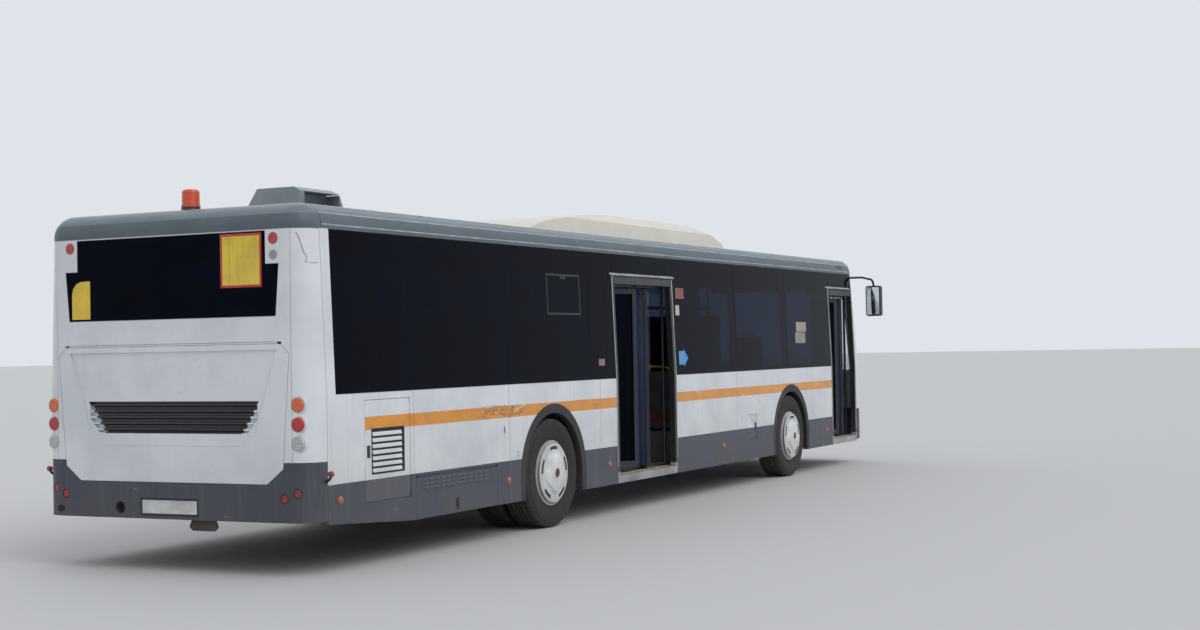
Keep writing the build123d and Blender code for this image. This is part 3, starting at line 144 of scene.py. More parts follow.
for lamp_name, lamp_strength, lamp_angle, lamp_from in (
        ("soft_key", 0.98, 50, (-0.16, -0.85, 0.95)), ("soft_fill", 0.45, 70, (0.75, 0.65, 0.80))):
    lamp_data = bpy.data.lights.new(lamp_name, "SUN")
    lamp_data.energy = lamp_strength
    lamp_data.angle = math.radians(lamp_angle)
    lamp = linked(lamp_name, lamp_data)
    lamp.rotation_euler = Vector(lamp_from).to_track_quat("Z", "Y").to_euler()


# Painted panels: side frames of white-lacquered sheet and composite, glued on the frame. They carry
# the orange stripe, fine dirt that gets thicker towards the road, rain streaks and chips.
def shader_group(name, inputs, outputs):
    """A new node group on the bench: its inputs, its output node, and a function that uses it in a look."""
    group = bpy.data.node_groups.new(name, "ShaderNodeTree")
    for way, sockets in (("INPUT", inputs), ("OUTPUT", outputs)):
        for label, kind in sockets.items():
            group.interface.new_socket(label, in_out=way, socket_type="NodeSocket" + kind)
    bench["tree"] = group
    return (group.nodes.new("NodeGroupInput").outputs, group.nodes.new("NodeGroupOutput"),
            lambda *values: put("Group", dict(zip(inputs, values)), node_tree=group).outputs)


def object_place():
    return put("TexCoord").outputs["Object"]


def place_of():
    return put("SeparateXYZ", {0: object_place()}).outputs


def cloud(scale, detail, vector=None, rough=0.5):
    """Soft noise over the piece."""
    vector = object_place() if vector is None else vector
    return put("TexNoise",
               {"Vector": vector, "Scale": scale, "Detail": detail, "Roughness": rough}).outputs["Fac"]


def stretched(across, along_y, up_z):
    return put("Mapping", {"Vector": object_place(), "Scale": (across, along_y, up_z)}).outputs[0]


def band(value, low, high, at_low=0.0, at_high=1.0):
    limits = {"Value": value, "From Min": low, "From Max": high, "To Min": at_low, "To Max": at_high}
    return put("MapRange", limits, interpolation_type="SMOOTHSTEP").outputs[0]


def times(first, second):
    return maths("MULTIPLY", first, second)


def window(value, low, high, soft=0.001):
    """A mask, 1 between low and high."""
    return times(band(value, low - soft, low + soft), band(value, high + soft, high - soft))


def spot(place, first, second, soft=0.1):
    """A mask, 1 inside an ellipse given by two (axis, middle, radius) entries."""
    squares = []
    for axis, middle, radius in (first, second):
        off = maths("SUBTRACT", place[axis], middle)
        part = maths("DIVIDE", off, radius)
        squares.append(times(part, part))
    total = maths("ADD", squares[0], squares[1])
    return band(total, 1.0 + soft, 1.0 - soft)


def box_mask(place, axes, middle, half):
    """A mask, 1 inside a rectangle of two axes of the object's space."""
    mask = None
    for axis, centre, reach in zip(axes, middle, half):
        off = maths("SUBTRACT", place[axis], centre)
        far = maths("ABSOLUTE", off)
        side_mask = band(far, reach + 0.001, reach - 0.001)
        mask = side_mask if mask is None else times(mask, side_mask)
    return mask


def cover_group(name, second, *numbers):
    """A group that lays a second colour over the first."""
    inputs = {"Colour": "Color", second: "Color", **{label: "Float" for label in numbers}}
    return shader_group(name, inputs, {"Colour": "Color", "Mask": "Float"})


def covered(out, part, first, second, mask=None):
    fed(out, {"Colour": blended(part, first, second), "Mask": part if mask is None else mask})


tone_in, tone_out, toned = cover_group("patchy_tone", "Second", "Scale", "Amount")
tone_mask = band(cloud(tone_in["Scale"], 5.0, rough=0.6), 0.38, 0.66)
covered(tone_out, times(tone_mask, tone_in["Amount"]), tone_in["Colour"], tone_in["Second"], tone_mask)

dirt_in, dirt_out, dirtied = cover_group("road_dirt", "Dirt", "Top", "Amount")
dirt_fade = band(maths("DIVIDE", place_of()["Z"], dirt_in["Top"]), 1.0, 0.1, 0.06, 1.0)
dirt_cloud = cloud(3.4, 8.0, stretched(1.0, 1.0, 0.8), rough=0.68)
dirt_both = times(band(dirt_cloud, 0.3, 0.7, 0.25, 1.0), band(cloud(60.0, 3.0), 0.3, 0.65, 0.6, 1.0))
dirt_mask = times(times(dirt_fade, dirt_both), dirt_in["Amount"])
covered(dirt_out, dirt_mask, dirt_in["Colour"], dirt_in["Dirt"])

streak_in, streak_out, streaked = cover_group("rain_streaks", "Streak", "Amount")
streak_mask = band(cloud(1.0, 4.0, stretched(26.0, 26.0, 0.9)), 0.52, 0.72)
covered(streak_out, times(streak_mask, streak_in["Amount"]), streak_in["Colour"], streak_in["Streak"])

scuff_in, scuff_out, scuffed = cover_group("scuffs", "Bare", "Amount", "Scale")
scuff_far = cloud(scuff_in["Scale"], 9.0, stretched(0.5, 0.5, 2.2), rough=0.72)
scuff_mask = times(band(scuff_far, 0.62, 0.67), band(cloud(1.7, 2.0), 0.48, 0.62))
covered(scuff_out, times(scuff_mask, scuff_in["Amount"]), scuff_in["Colour"], scuff_in["Bare"])

edge_in, edge_out, edged = shader_group(
    "soft_edges", {"Radius": "Float"}, {"Normal": "Vector", "Mask": "Float"})
edge_normal = put("Bevel", {"Radius": edge_in["Radius"]}, samples=4).outputs[0]
edge_flat = put("NewGeometry").outputs["Normal"]
edge_dot = put("VectorMath", {0: edge_normal, 1: edge_flat}, operation="DOT_PRODUCT").outputs["Value"]
fed(edge_out, {"Normal": edge_normal, "Mask": band(edge_dot, 0.985, 0.90)})


def dress(look, *names):
    for name in names:
        for slot in nodes[name].material_slots:
            slot.material = look


def aged(colour, scuffs, rain, road, edge):
    """The colour under scuffs, rain streaks, road dirt and rubbed edges, the dirt's mask and the normal."""
    radius, amount, rubbed = edge
    worn = scuffed(colour, *scuffs)["Colour"]
    dirty = dirtied(streaked(worn, *rain)["Colour"], *road)
    soft = edged(radius)
    return blended(times(soft["Mask"], amount), dirty["Colour"], rubbed), dirty["Mask"], soft["Normal"]


def weathered(name, base, second, rough, dirt=0.5, dirt_top=1.2, streaks=0.2, scuffs=0.3,
              bare=(0.25, 0.25, 0.25, 1), grain=40.0, depth=0.0004, dust=shade(92, 84, 74), bands=(),
              spots=()):
    """Paint or plastic with patches, scuffs, rain marks and dirt; bands are (low, high, colour) heights
    and spots are (axis, middle, radius, axis, middle, radius, colour) places of another colour."""
    new_look(name, rough)
    place = place_of()
    for low, high, colour in bands:
        base = blended(window(place["Z"], low, high, 0.002), base, colour)
    tone = toned(base, second, 2.2, 0.5)["Colour"]
    colour, road, normal = aged(
        tone, (bare, scuffs, 9.0), (dust, streaks), (dust, dirt_top, dirt), (0.003, 0.25, bare))
    for *where, tint in spots:
        colour = blended(spot(place, where[:3], where[3:]), colour, tint)
    matt = band(road, 0.0, 0.6, rough, min(1.0, rough + 0.4))
    return finish(colour, cloud(grain, 4.0), depth, normal, matt)


white = shade(228, 231, 235)
white_low = shade(205, 210, 217)
stripe_colour = shade(234, 152, 30)
skirt_grey = shade(66, 73, 88)
skirt_low = shade(58, 64, 78)
skirt_top = 0.637
stripe_z = (1.000, 1.098)
stripe_runs = ((-5.549, -1.372), (0.003, 4.79))
panel_seams = (-4.897, -3.43, -1.72, 1.62, 4.55)
side_chips = ((-3.51, 0.898, 0.032), (-3.515, 0.842, 0.009), (-3.28, 0.700, 0.013), (-3.285, 0.672, 0.012),
              (2.30, 0.930, 0.010))


def side_paint(name):
    new_look(name, 0.32, 0.25)
    place = place_of()
    across, height = place["X"], place["Z"]
    tone = toned(white, white_low, 1.6, 0.6)
    ragged = cloud(7.0, 9.0, stretched(0.6, 0.6, 3.0), rough=0.75)
    in_band = window(height, *stripe_z, 0.0015)
    in_run = maths("ADD", window(across, *stripe_runs[0]), window(across, *stripe_runs[1]))
    left_run = window(across, stripe_runs[0][0], stripe_runs[1][1])
    left_run = times(left_run, band(place["Y"], -0.1, 0.1))
    in_run = maths("MAXIMUM", in_run, left_run)
    stripe_worn = band(ragged, 0.64, 0.60)
    stripe_mask = times(times(in_band, in_run), stripe_worn)
    stripe_tone = toned(stripe_colour, shade(210, 132, 30), 4.0, 0.7)
    coloured = blended(stripe_mask, tone["Colour"], stripe_tone["Colour"])
    coloured = blended(band(height, skirt_top + 0.001, skirt_top - 0.001), coloured, skirt_grey)
    for seam in panel_seams:
        low = times(window(across, seam - 0.002, seam + 0.002), band(height, 1.275, 1.270))
        coloured = blended(times(low, 0.8), coloured, shade(70, 72, 76))
    right_side = band(place["Y"], -1.0, -1.1)
    crack_area = times(spot(place, ("X", -3.55, 0.46), ("Z", 1.055, 0.06), 0.5), right_side)
    crack_line = window(ragged, 0.505, 0.540, 0.005)
    coloured = blended(times(crack_area, crack_line), coloured, shade(112, 84, 48))
    for chip_x, chip_z, chip_radius in side_chips:
        chip = spot(place, ("X", chip_x, chip_radius * 0.42), ("Z", chip_z, chip_radius), 0.4)
        ragged_chip = times(chip, band(ragged, 0.36, 0.44))
        coloured = blended(times(ragged_chip, right_side), coloured, shade(96, 88, 82))
    colour, road, normal = aged(
        coloured, (shade(130, 126, 122), 0.30, 16.0), (shade(184, 183, 180), 0.16),
        (shade(132, 122, 110), 1.3, 0.42), (0.004, 0.25, shade(120, 118, 116)))
    return finish(colour, cloud(1.8, 2.0), 0.006, normal, band(road, 0.0, 0.4, 0.30, 0.62))


side_look = side_paint("side_panel_paint")
dress(side_look, "side_frame_right", "side_frame_left", "louvre_door", "radiator_door")

# Skirts: slate-grey panels along the sill, with the lift-up engine flap and the fuel flap cut in
# them. They take all the spray from the road, so they are the dirtiest paint of the bus.
skirt_look = weathered(
    "skirt_paint", skirt_grey, skirt_low, 0.45, dirt=0.38, dirt_top=0.9, streaks=0.2, scuffs=0.5,
    bare=shade(150, 150, 148), dust=shade(124, 114, 100))
dress(skirt_look, "skirts", "engine_flap")
fuel_look = weathered(
    "fuel_flap_paint", skirt_grey, skirt_low, 0.42, dirt=0.38, dirt_top=0.9, streaks=0.15, scuffs=0.5,
    bare=shade(90, 90, 90), dust=shade(124, 114, 100), bands=((skirt_top, 1.0, white),))
dress(fuel_look, "fuel_flap")

# End caps: moulded shells, white below the cove and blue-grey above it, like the roof's edge. The
# engine hatch takes the same paint, with a black field behind its grille as painted shade, and the
# front cap's nose carries dark stripes as painted shade for the slots of its grille.
cove_z = 2.449
cove_grey = shade(104, 116, 126)


def cap_paint(name, grille=False):
    new_look(name, 0.34, 0.25)
    place = place_of()
    height = place["Z"]
    tone = toned(white, white_low, 1.5, 0.65)
    grey = toned(cove_grey, shade(88, 98, 108), 3.0, 0.6)
    above = band(height, cove_z - 0.002, cove_z + 0.002)
    parted = blended(above, tone["Colour"], grey["Colour"])
    colour, road, normal = aged(
        parted, (shade(140, 136, 132), 0.22, 18.0), (shade(194, 194, 192), 0.07),
        (shade(150, 143, 134), 1.2, 0.24), (0.005, 0.3, shade(104, 104, 104)))
    if grille:
        far = maths("ABSOLUTE", place["Y"])
        reach = maths("MULTIPLY_ADD", height, 0.685, -0.058)
        beyond = maths("SUBTRACT", far, reach)
        # The recess behind the grille is painted near black, as painted shade.
        in_height = window(height, 1.004, 1.238, 0.002)
        grille_shade_field = times(in_height, band(beyond, 0.003, -0.003))
        colour = blended(grille_shade_field, colour, shade(24, 26, 30))
    else:
        back = band(place["X"], -6.0, -6.1)
        far = maths("ABSOLUTE", place["Y"])
        corner_line = times(window(far, 1.0806, 1.0842, 0.0006), back)
        corner_line = times(corner_line, band(height, cove_z, cove_z - 0.01))
        colour = blended(times(corner_line, 0.75), colour, shade(86, 88, 92))
        disc = spot(place, ("Y", -0.942, 0.036), ("Z", 2.269, 0.036))
        colour = blended(times(disc, back), colour, shade(150, 152, 156))
        # Dark stripes across the nose: painted shade for the slots of its grille.
        slots = maths("SINE", times(height, 180.0))
        nose = times(band(place["X"], 5.9, 6.0), box_mask(place, "YZ", (0.0, 0.845), (0.58, 0.086)))
        colour = blended(times(nose, band(slots, -0.2, 0.1)), colour, shade(22, 24, 27))
    return finish(colour, cloud(2.2, 2.0), 0.005, normal, band(road, 0.0, 0.4, 0.32, 0.64))


cap_look = cap_paint("cap_paint")
dress(cap_look, "rear_cap", "front_cap")
dress(cap_paint("hatch_paint", grille=True), "engine_hatch")

# Roof: rolled sheet with the blue-grey cove profile along both edges. Dust lies on the flat middle
# and leaves drain marks over the cove.
# The height bands are painted light: darker on the lower cove as painted shade, and paler from the cove's top
# edge over the flat top as a painted highlight.
roof_look = weathered(
    "roof_paint", cove_grey, shade(98, 110, 120), 0.42, dirt=0.14, dirt_top=6.0, streaks=0.08, scuffs=0.3,
    bare=shade(150, 154, 156), dust=shade(118, 118, 114), bands=(
        (2.40, 2.560, shade(82, 92, 102)), (2.560, 2.628, shade(112, 124, 134)),
        (2.628, 2.80, shade(138, 146, 152))), spots=(
        ("X", 5.330, 0.13, "Z", 2.540, 0.030, shade(44, 46, 48)),
        ("X", -5.992, 0.004, "Z", 2.5, 0.12, shade(30, 32, 34)),
        ("X", 5.742, 0.004, "Z", 2.5, 0.12, shade(30, 32, 34))))
dress(roof_look, "roof", "roof_hatches", "intake_hood")

# Roof unit: the air conditioner's cover, a pale moulded shell with slots towards its front. It takes
# little dirt and hardly any scuffs.
unit_look = weathered(
    "unit_plastic", shade(222, 219, 206), shade(214, 211, 199), 0.5, dirt=0.14, dirt_top=8.0, streaks=0.04,
    scuffs=0.05, bare=shade(160, 156, 148), dust=shade(120, 116, 108))
dress(unit_look, "ac_unit")

# Bumpers: grained dark plastic, scraped and dusty. A round lock with a dark middle, a
# dark hole near one corner and a dark slot are painted on; the dark of the hole and the slot is painted
# shade.
bumper_look = weathered(
    "bumper_plastic", shade(64, 70, 84), shade(56, 61, 73), 0.55, dirt=0.4, dirt_top=1.0, streaks=0.25,
    scuffs=0.6, bare=shade(136, 136, 138), grain=160.0, depth=0.0006, dust=shade(118, 110, 98),
    spots=(("Y", 0.045, 0.024, "Z", 0.714, 0.024, shade(150, 152, 154)),
           ("Y", 0.045, 0.017, "Z", 0.714, 0.017, shade(24, 24, 26)),
           ("Y", 1.064, 0.040, "Z", 0.439, 0.026, shade(16, 16, 18)),
           ("Y", 0.020, 0.120, "Z", 0.798, 0.010, shade(24, 24, 26))))
dress(bumper_look, "rear_bumper", "front_bumper")

# Arch trims: black rubber mouldings around the wheel arches. They have gone grey, and road dust sits
# in their grain.
trim_look = weathered(
    "trim_rubber", shade(34, 37, 43), shade(48, 51, 57), 0.62, dirt=0.4, dirt_top=1.4, streaks=0.1,
    scuffs=0.3, bare=shade(90, 90, 90), grain=120.0, depth=0.0006, dust=shade(104, 96, 86))
dress(trim_look, "arch_trims")

# Glass: dark blue-tinted panes, glued flush to the frames, with faint rain marks and smears. The
# windscreen is clear, with only a breath of green.
new_look("tinted_glass", 0.03, Transmission_Weight=0.9, IOR=1.11, Specular_IOR_Level=0.1)
glass_tone = toned(shade(32, 44, 72), shade(24, 34, 58), 1.1, 0.6)["Colour"]
glass_smear = cloud(3.0, 6.0, stretched(1.0, 1.0, 0.5))
glass_look = finish(
    streaked(glass_tone, shade(44, 52, 70), 0.3)["Colour"], rough=band(glass_smear, 0.4, 0.75, 0.02, 0.12))
dress(glass_look, "side_glass", "rear_window")

new_look("clear_glass", 0.02, Transmission_Weight=1.0, IOR=1.4)
clear_look = finish(toned(shade(206, 216, 214), shade(190, 202, 202), 1.4, 0.5)["Colour"])
dress(clear_look, "windscreen")

# Doors: black-painted leaves with tinted panes, on pillars in the same paint. The surrounds are dark
# metal, with a worn bright sill below.
door_look = weathered(
    "door_paint", shade(30, 32, 36), shade(22, 24, 28), 0.38, dirt=0.4, dirt_top=1.2, streaks=0.15,
    scuffs=0.35, bare=shade(120, 120, 122), dust=shade(92, 88, 82))
door_nodes = [f"{door}_{leaf}_{part}" for door in ("mid_door", "front_door") for leaf in ("rear", "front")
              for part in ("leaf", "glass", "pillar")]
dress(door_look, *[name for name in door_nodes if not name.endswith("glass")])
dress(glass_look, *[name for name in door_nodes if name.endswith("glass")])
surround_look = weathered(
    "surround_metal", shade(40, 42, 46), shade(34, 36, 40), 0.4, dirt=0.4, dirt_top=1.0, streaks=0.2,
    scuffs=0.7, bare=shade(30, 30, 32), dust=shade(104, 98, 90), bands=((0.20, 0.392, shade(176, 178, 180)),))
dress(surround_look, "door_surrounds")


# Lamps: moulded lenses over prisms. At each tail corner amber stands over red over clear, the high
# stop lamps are red, and on the clear headlamps bright bowls in darker rings are painted on the lens,
# as a painted reflection of their chrome reflectors.
def lens_colour():
    place = place_of()
    height = place["Z"]
    amber, red, clear = shade(255, 120, 40), shade(214, 22, 24), shade(214, 218, 222)
    low = blended(band(height, 1.004, 1.006), clear, red)
    upper = blended(band(height, 1.141, 1.143), low, amber)
    tail_lens = blended(band(height, 2.0, 2.01), upper, red)
    head_lens = shade(150, 156, 162)
    # Each headlamp gets a darker ring and a bright bowl: a painted reflection of its chrome reflector.
    for middle_y, middle_z, radius in ((0.985, 0.862, 0.078), (0.822, 0.838, 0.060)):
        for side in (-1, 1):
            ring = spot(place, ("Y", side * middle_y, radius), ("Z", middle_z, radius))
            bowl_reflection = spot(place, ("Y", side * middle_y, radius * 0.72), ("Z", middle_z, radius * 0.72), 0.4)
            head_lens = blended(ring, head_lens, shade(70, 74, 80))
            head_lens = blended(bowl_reflection, head_lens, shade(232, 236, 240))
    return blended(band(place["X"], 0.0, 0.1), tail_lens, head_lens)


new_look("lamp_lens", 0.12, 0.6, Specular_IOR_Level=0.6)
lens_base = lens_colour()
lens_cells = put("TexVoronoi", {"Vector": stretched(0.2, 1.0, 1.0), "Scale": 85.0}, feature="F1",
                 distance="CHEBYCHEV")
lens_dark = blended(band(lens_cells.outputs["Distance"], 0.1, 0.6, 0.0, 0.45), lens_base, shade(60, 10, 8))
lens_road = dirtied(lens_dark, shade(120, 112, 102), 2.0, 0.3)
lens_look = finish(lens_road["Colour"], lens_cells.outputs["Distance"], 0.0012)
dress(lens_look, "lamps")

# Beacon: an orange dome of ribbed plastic on a black foot. The ribs run around it, and a painted
# shade darkens the colour in step with them.
new_look("beacon_dome", 0.2, 0.5)
beacon_place = place_of()
beacon_ribs = put("TexWave", {"Vector": stretched(0.0, 0.0, 1.0), "Scale": 22.0}, bands_direction="Z")
beacon_colour = blended(times(beacon_ribs.outputs["Fac"], 0.4), shade(232, 84, 22), shade(168, 44, 12))
beacon_foot = blended(band(beacon_place["Z"], 2.668, 2.670), shade(26, 26, 28), beacon_colour)
beacon_look = finish(beacon_foot, beacon_ribs.outputs["Fac"], 0.002)
dress(beacon_look, "beacon")

# Underneath: tubes, axles and knuckles painted black and covered in road dust, the engine in bare
# cast iron with oil on it, and rubber bellows.
chassis_look = weathered(
    "chassis_paint", shade(38, 38, 40), shade(58, 50, 44), 0.6, dirt=0.95, dirt_top=1.6, streaks=0.2,
    scuffs=0.4, bare=shade(104, 66, 44), grain=60.0, depth=0.001, dust=shade(110, 98, 82))
dress(chassis_look, "chassis", "front_axle", "rear_axle", "knuckle_left", "knuckle_right")
engine_look = weathered(
    "engine_iron", shade(92, 90, 86), shade(60, 56, 52), 0.65, dirt=0.8, dirt_top=2.0, streaks=0.5,
    scuffs=0.5, bare=shade(120, 78, 52), grain=90.0, depth=0.002, dust=shade(70, 62, 52))
dress(engine_look, "engine")
bellows_look = weathered(
    "bellows_rubber", shade(30, 30, 32), shade(46, 45, 44), 0.75, dirt=0.7, dirt_top=1.2, streaks=0.1,
    scuffs=0.1, grain=140.0, depth=0.0008, dust=shade(104, 96, 84))
dress(bellows_look, "air_springs")

# Floor: grey vinyl with pale specks, patchy and scuffed dark by shoes. The handrails are steel tube
# with a fine brushed grain.
new_look("floor_vinyl", 0.5)
vinyl_base = toned(shade(112, 116, 122), shade(84, 86, 90), 2.6, 0.7)
vinyl_fleck = put("TexVoronoi", {"Vector": object_place(), "Scale": 220.0})
vinyl_speck = blended(
    band(vinyl_fleck.outputs["Distance"], 0.35, 0.2, 0.0, 0.45), vinyl_base["Colour"], shade(190, 192, 196))
vinyl_worn = scuffed(vinyl_speck, shade(60, 56, 52), 0.5, 6.0)
vinyl_look = finish(vinyl_worn["Colour"], vinyl_fleck.outputs["Distance"], 0.0004)
dress(vinyl_look, "floor")
new_look("rail_steel", 0.3, Metallic=1.0)
rail_grain = cloud(3.0, 3.0, stretched(4.0, 4.0, 180.0))
rail_tone = blended(band(rail_grain, 0.3, 0.7), shade(196, 198, 200), shade(160, 162, 166))
rail_look = finish(rail_tone, rail_grain, 0.0002)
dress(rail_look, "handrails")

# Driver's place: grained dark plastic, also on the steering wheel. The mirrors' housings are blacker,
# and streaked by rain.
cab_look = weathered(
    "cab_plastic", shade(58, 60, 64), shade(46, 48, 52), 0.6, dirt=0.2, dirt_top=2.5, streaks=0.05,
    scuffs=0.2, bare=shade(90, 90, 92), grain=220.0, depth=0.0006)
dress(cab_look, "cab_fittings", "steering_wheel")
mirror_look = weathered(
    "mirror_plastic", shade(30, 31, 34), shade(40, 42, 44), 0.5, dirt=0.3, dirt_top=4.0, streaks=0.3,
    scuffs=0.3, grain=200.0, depth=0.0005)
dress(mirror_look, "mirrors")

# Wheels: steel rims with white moulded covers and a dark red hub cap; each tyre has ribs and
# grooves, sipes across them, and a dusty wall.
axles = {"front": 3.323, "rear": -2.637}
axle_z = 0.478
turn_in, turn_out, around_axle = shader_group(
    "around_axle", {"Axle": "Float"}, {"Radius": "Float", "Turn": "Float"})
turn_place = place_of()
turn_x = maths("SUBTRACT", turn_place["X"], turn_in["Axle"])
turn_z = maths("SUBTRACT", turn_place["Z"], axle_z)
turn_flat = put("CombineXYZ", {"X": turn_x, "Z": turn_z}).outputs[0]
turn_far = put("VectorMath", {0: turn_flat}, operation="LENGTH").outputs["Value"]
fed(turn_out, {"Radius": turn_far, "Turn": maths("ARCTAN2", turn_z, turn_x)})


def wheel_cover_look(axle):
    new_look(f"{axle}_wheel_cover", 0.4, 0.2)
    around = around_axle(axles[axle])
    base = toned(shade(226, 228, 232), shade(196, 198, 202), 9.0, 0.6)
    inward = maths("ABSOLUTE", place_of()["Y"])
    deep = band(inward, 1.170, 1.130)
    shadowed = blended(deep, base["Colour"], shade(70, 68, 68))
    ring_dirt = times(band(around["Radius"], 0.20, 0.27), 0.55)
    rim = blended(ring_dirt, shadowed, shade(128, 118, 106))
    chips = scuffed(rim, shade(110, 100, 92), 0.6, 26.0)
    cap = blended(band(around["Radius"], 0.047, 0.044), chips["Colour"], shade(92, 26, 24))
    soft = edged(0.003)
    return finish(cap, None, 0, soft["Normal"])


for axle in axles:
    dress(wheel_cover_look(axle), f"{axle}_wheel_left", f"{axle}_wheel_right")


def deselect():
    if bpy.context.mode != "OBJECT":
        bpy.ops.object.mode_set(mode="OBJECT")
    bpy.ops.object.select_all(action="DESELECT")


def made_active(piece):
    deselect()
    piece.select_set(True)
    bpy.context.view_layer.objects.active = piece
    return piece


def applied(piece, kind, **settings):
    made_active(piece)
    modifier = piece.modifiers.new(kind.lower(), kind)
    for key, value in settings.items():
        setattr(modifier, key, value)
    bpy.ops.object.modifier_apply(modifier=modifier.name)
    return piece


def smoothed(piece, degrees=35):
    made_active(piece)
    bpy.ops.object.shade_smooth_by_angle(angle=math.radians(degrees))
    return piece


def edited(piece, **steps):
    """Runs operators on the whole mesh in edit mode."""
    made_active(piece)
    bpy.ops.object.mode_set(mode="EDIT")
    for step, settings in steps.items():
        bpy.ops.mesh.select_all(action="SELECT")
        getattr(bpy.ops.mesh, step)(**settings)
    bpy.ops.object.mode_set(mode="OBJECT")
    return piece


def drawn_line(name, points, closed=False):
    """A bare line of points, the start of a spun or extruded piece."""
    mesh = bpy.data.meshes.new(name)
    ends = range(len(points) if closed else len(points) - 1)
    mesh.from_pydata(points, [(number, (number + 1) % len(points)) for number in ends], [])
    return linked(name, mesh)


def spun(name, points, centre, axis, steps):
    piece = edited(drawn_line(name, points),
                   spin={"steps": steps, "angle": math.tau, "center": centre, "axis": axis},
                   remove_doubles={"threshold": 0.0001}, normals_make_consistent={"inside": False})
    return smoothed(piece, 40)


def joined(name, pieces):
    deselect()
    for piece in pieces:
        piece.select_set(True)
    bpy.context.view_layer.objects.active = pieces[0]
    if len(pieces) > 1:
        bpy.ops.object.join()
    bpy.context.object.name = name
    return bpy.context.object


def shown(piece, look, body="body"):
    piece.data.materials.clear()
    piece.data.materials.append(look)
    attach(piece, body)
    return piece


tyre_half = 0.1375
tyre_line = [(-0.108, 0.288), (-0.118, 0.300), (-0.122, 0.322), (-0.131, 0.350), (-0.1365, 0.385),
             (-0.1372, 0.408), (-0.1345, 0.432), (-0.1345, 0.436), (-0.131, 0.440), (-0.126, 0.458),
             (-0.120, 0.468), (-0.108, 0.4735), (-0.078, 0.4762), (-0.076, 0.464), (-0.066, 0.464),
             (-0.064, 0.4768), (-0.026, 0.478), (-0.024, 0.465), (-0.014, 0.465), (-0.012, 0.478)]
tyre_line += [(-across, radius) for across, radius in reversed(tyre_line)]


def tyre_look(axle):
    new_look(f"{axle}_tyre_rubber", 0.78)
    around = around_axle(axles[axle])
    sipes = maths("SINE", times(around["Turn"], 64.0))
    on_tread = band(around["Radius"], 0.466, 0.470)
    cut = times(band(sipes, 0.72, 0.86), on_tread)
    shoulder = times(band(around["Radius"], 0.436, 0.440),
                     band(maths("SINE", times(around["Turn"], 40.0)), 0.6, 0.8))
    ribs = maths("SINE", times(around["Radius"], 700.0))
    wall = times(times(ribs, 0.12), band(around["Radius"], 0.43, 0.42))
    height = maths("SUBTRACT", wall, maths("MAXIMUM", cut, shoulder))
    base = toned(shade(30, 31, 34), shade(43, 43, 44), 8.0, 0.8)
    dusty = blended(band(around["Radius"], 0.44, 0.478, 0.03, 0.45), base["Colour"], shade(84, 80, 74))
    # The sipes are also darkened to near black, as painted shade in them.
    shaded_sipes = blended(times(cut, 0.6), dusty, shade(22, 22, 22))
    road = dirtied(shaded_sipes, shade(92, 86, 78), 1.2, 0.22)
    return finish(road["Colour"], height, 0.004)


def wheel_body(axle, side_name):
    return f"front_{side_name}_wheel" if axle == "front" else f"rear_{side_name}_wheels"


tyre_looks = {axle: tyre_look(axle) for axle in axles}
outer_y = 1.236 - tyre_half
twin_gap = 0.038
twin_y = {"front": [outer_y], "rear": [outer_y, outer_y - 2 * tyre_half - twin_gap]}
for axle, axle_x in axles.items():
    for side, sign in (("left", 1), ("right", -1)):
        rings = []
        for middle in twin_y[axle]:
            points = [(axle_x, sign * middle + across, axle_z + radius) for across, radius in tyre_line]
            rings.append(spun("tyre_ring", points + points[:1], (axle_x, 0, axle_z), (0, 1, 0), 72))
        tyre = shown(joined(f"{axle}_tread_{side}", rings), tyre_looks[axle], wheel_body(axle, side))
        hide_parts(f"front_tyre_{side}" if axle == "front" else f"rear_tyres_{side}")


# Side markers: small domed amber lenses with prisms, in a row along each sill, five to a side and
# at the same places on both sides.
def raw_block(name, low, high):
    deselect()
    bpy.ops.mesh.primitive_cube_add(size=1, location=[(a + b) / 2 for a, b in zip(low, high)])
    piece = bpy.context.object
    piece.name = name
    piece.scale = [abs(b - a) for a, b in zip(low, high)]
    bpy.ops.object.transform_apply(location=True, rotation=True, scale=True)
    return piece


def raw_round(name, middle, radius, depth, sides):
    """A round block whose axis lies along the bus."""
    deselect()
    bpy.ops.mesh.primitive_cylinder_add(
        vertices=sides, radius=radius, depth=depth, location=middle, rotation=(0, math.pi / 2, 0))
    piece = bpy.context.object
    piece.name = name
    bpy.ops.object.transform_apply(location=True, rotation=True, scale=True)
    return piece


def looking(axis, sign):
    """A test for faces that look along an axis; sign 0 takes both directions."""
    if sign:
        return lambda normal, middle: getattr(normal, axis) * sign > 0.9
    return lambda normal, middle: abs(getattr(normal, axis)) > 0.9


def picked(piece, test):
    made_active(piece)
    bpy.ops.object.mode_set(mode="EDIT")
    bpy.ops.mesh.select_mode(type="FACE")
    bpy.ops.mesh.select_all(action="DESELECT")
    mesh = bmesh.from_edit_mesh(piece.data)
    for face in mesh.faces:
        face.select_set(bool(test(face.normal, face.calc_center_median())))
    bmesh.update_edit_mesh(piece.data)


def sunk(piece, test, border, depth):
    """Insets the picked faces and pushes them in (a negative depth) or out."""
    picked(piece, test)
    bpy.ops.mesh.inset(thickness=border, depth=0)
    bpy.ops.mesh.inset(thickness=abs(depth) * 0.4, depth=depth)
    bpy.ops.object.mode_set(mode="OBJECT")
    return piece


def rounded(piece, width, segments=2):
    applied(piece, "BEVEL", width=width, segments=segments, limit_method="ANGLE",
            angle_limit=math.radians(35))
    return smoothed(piece)


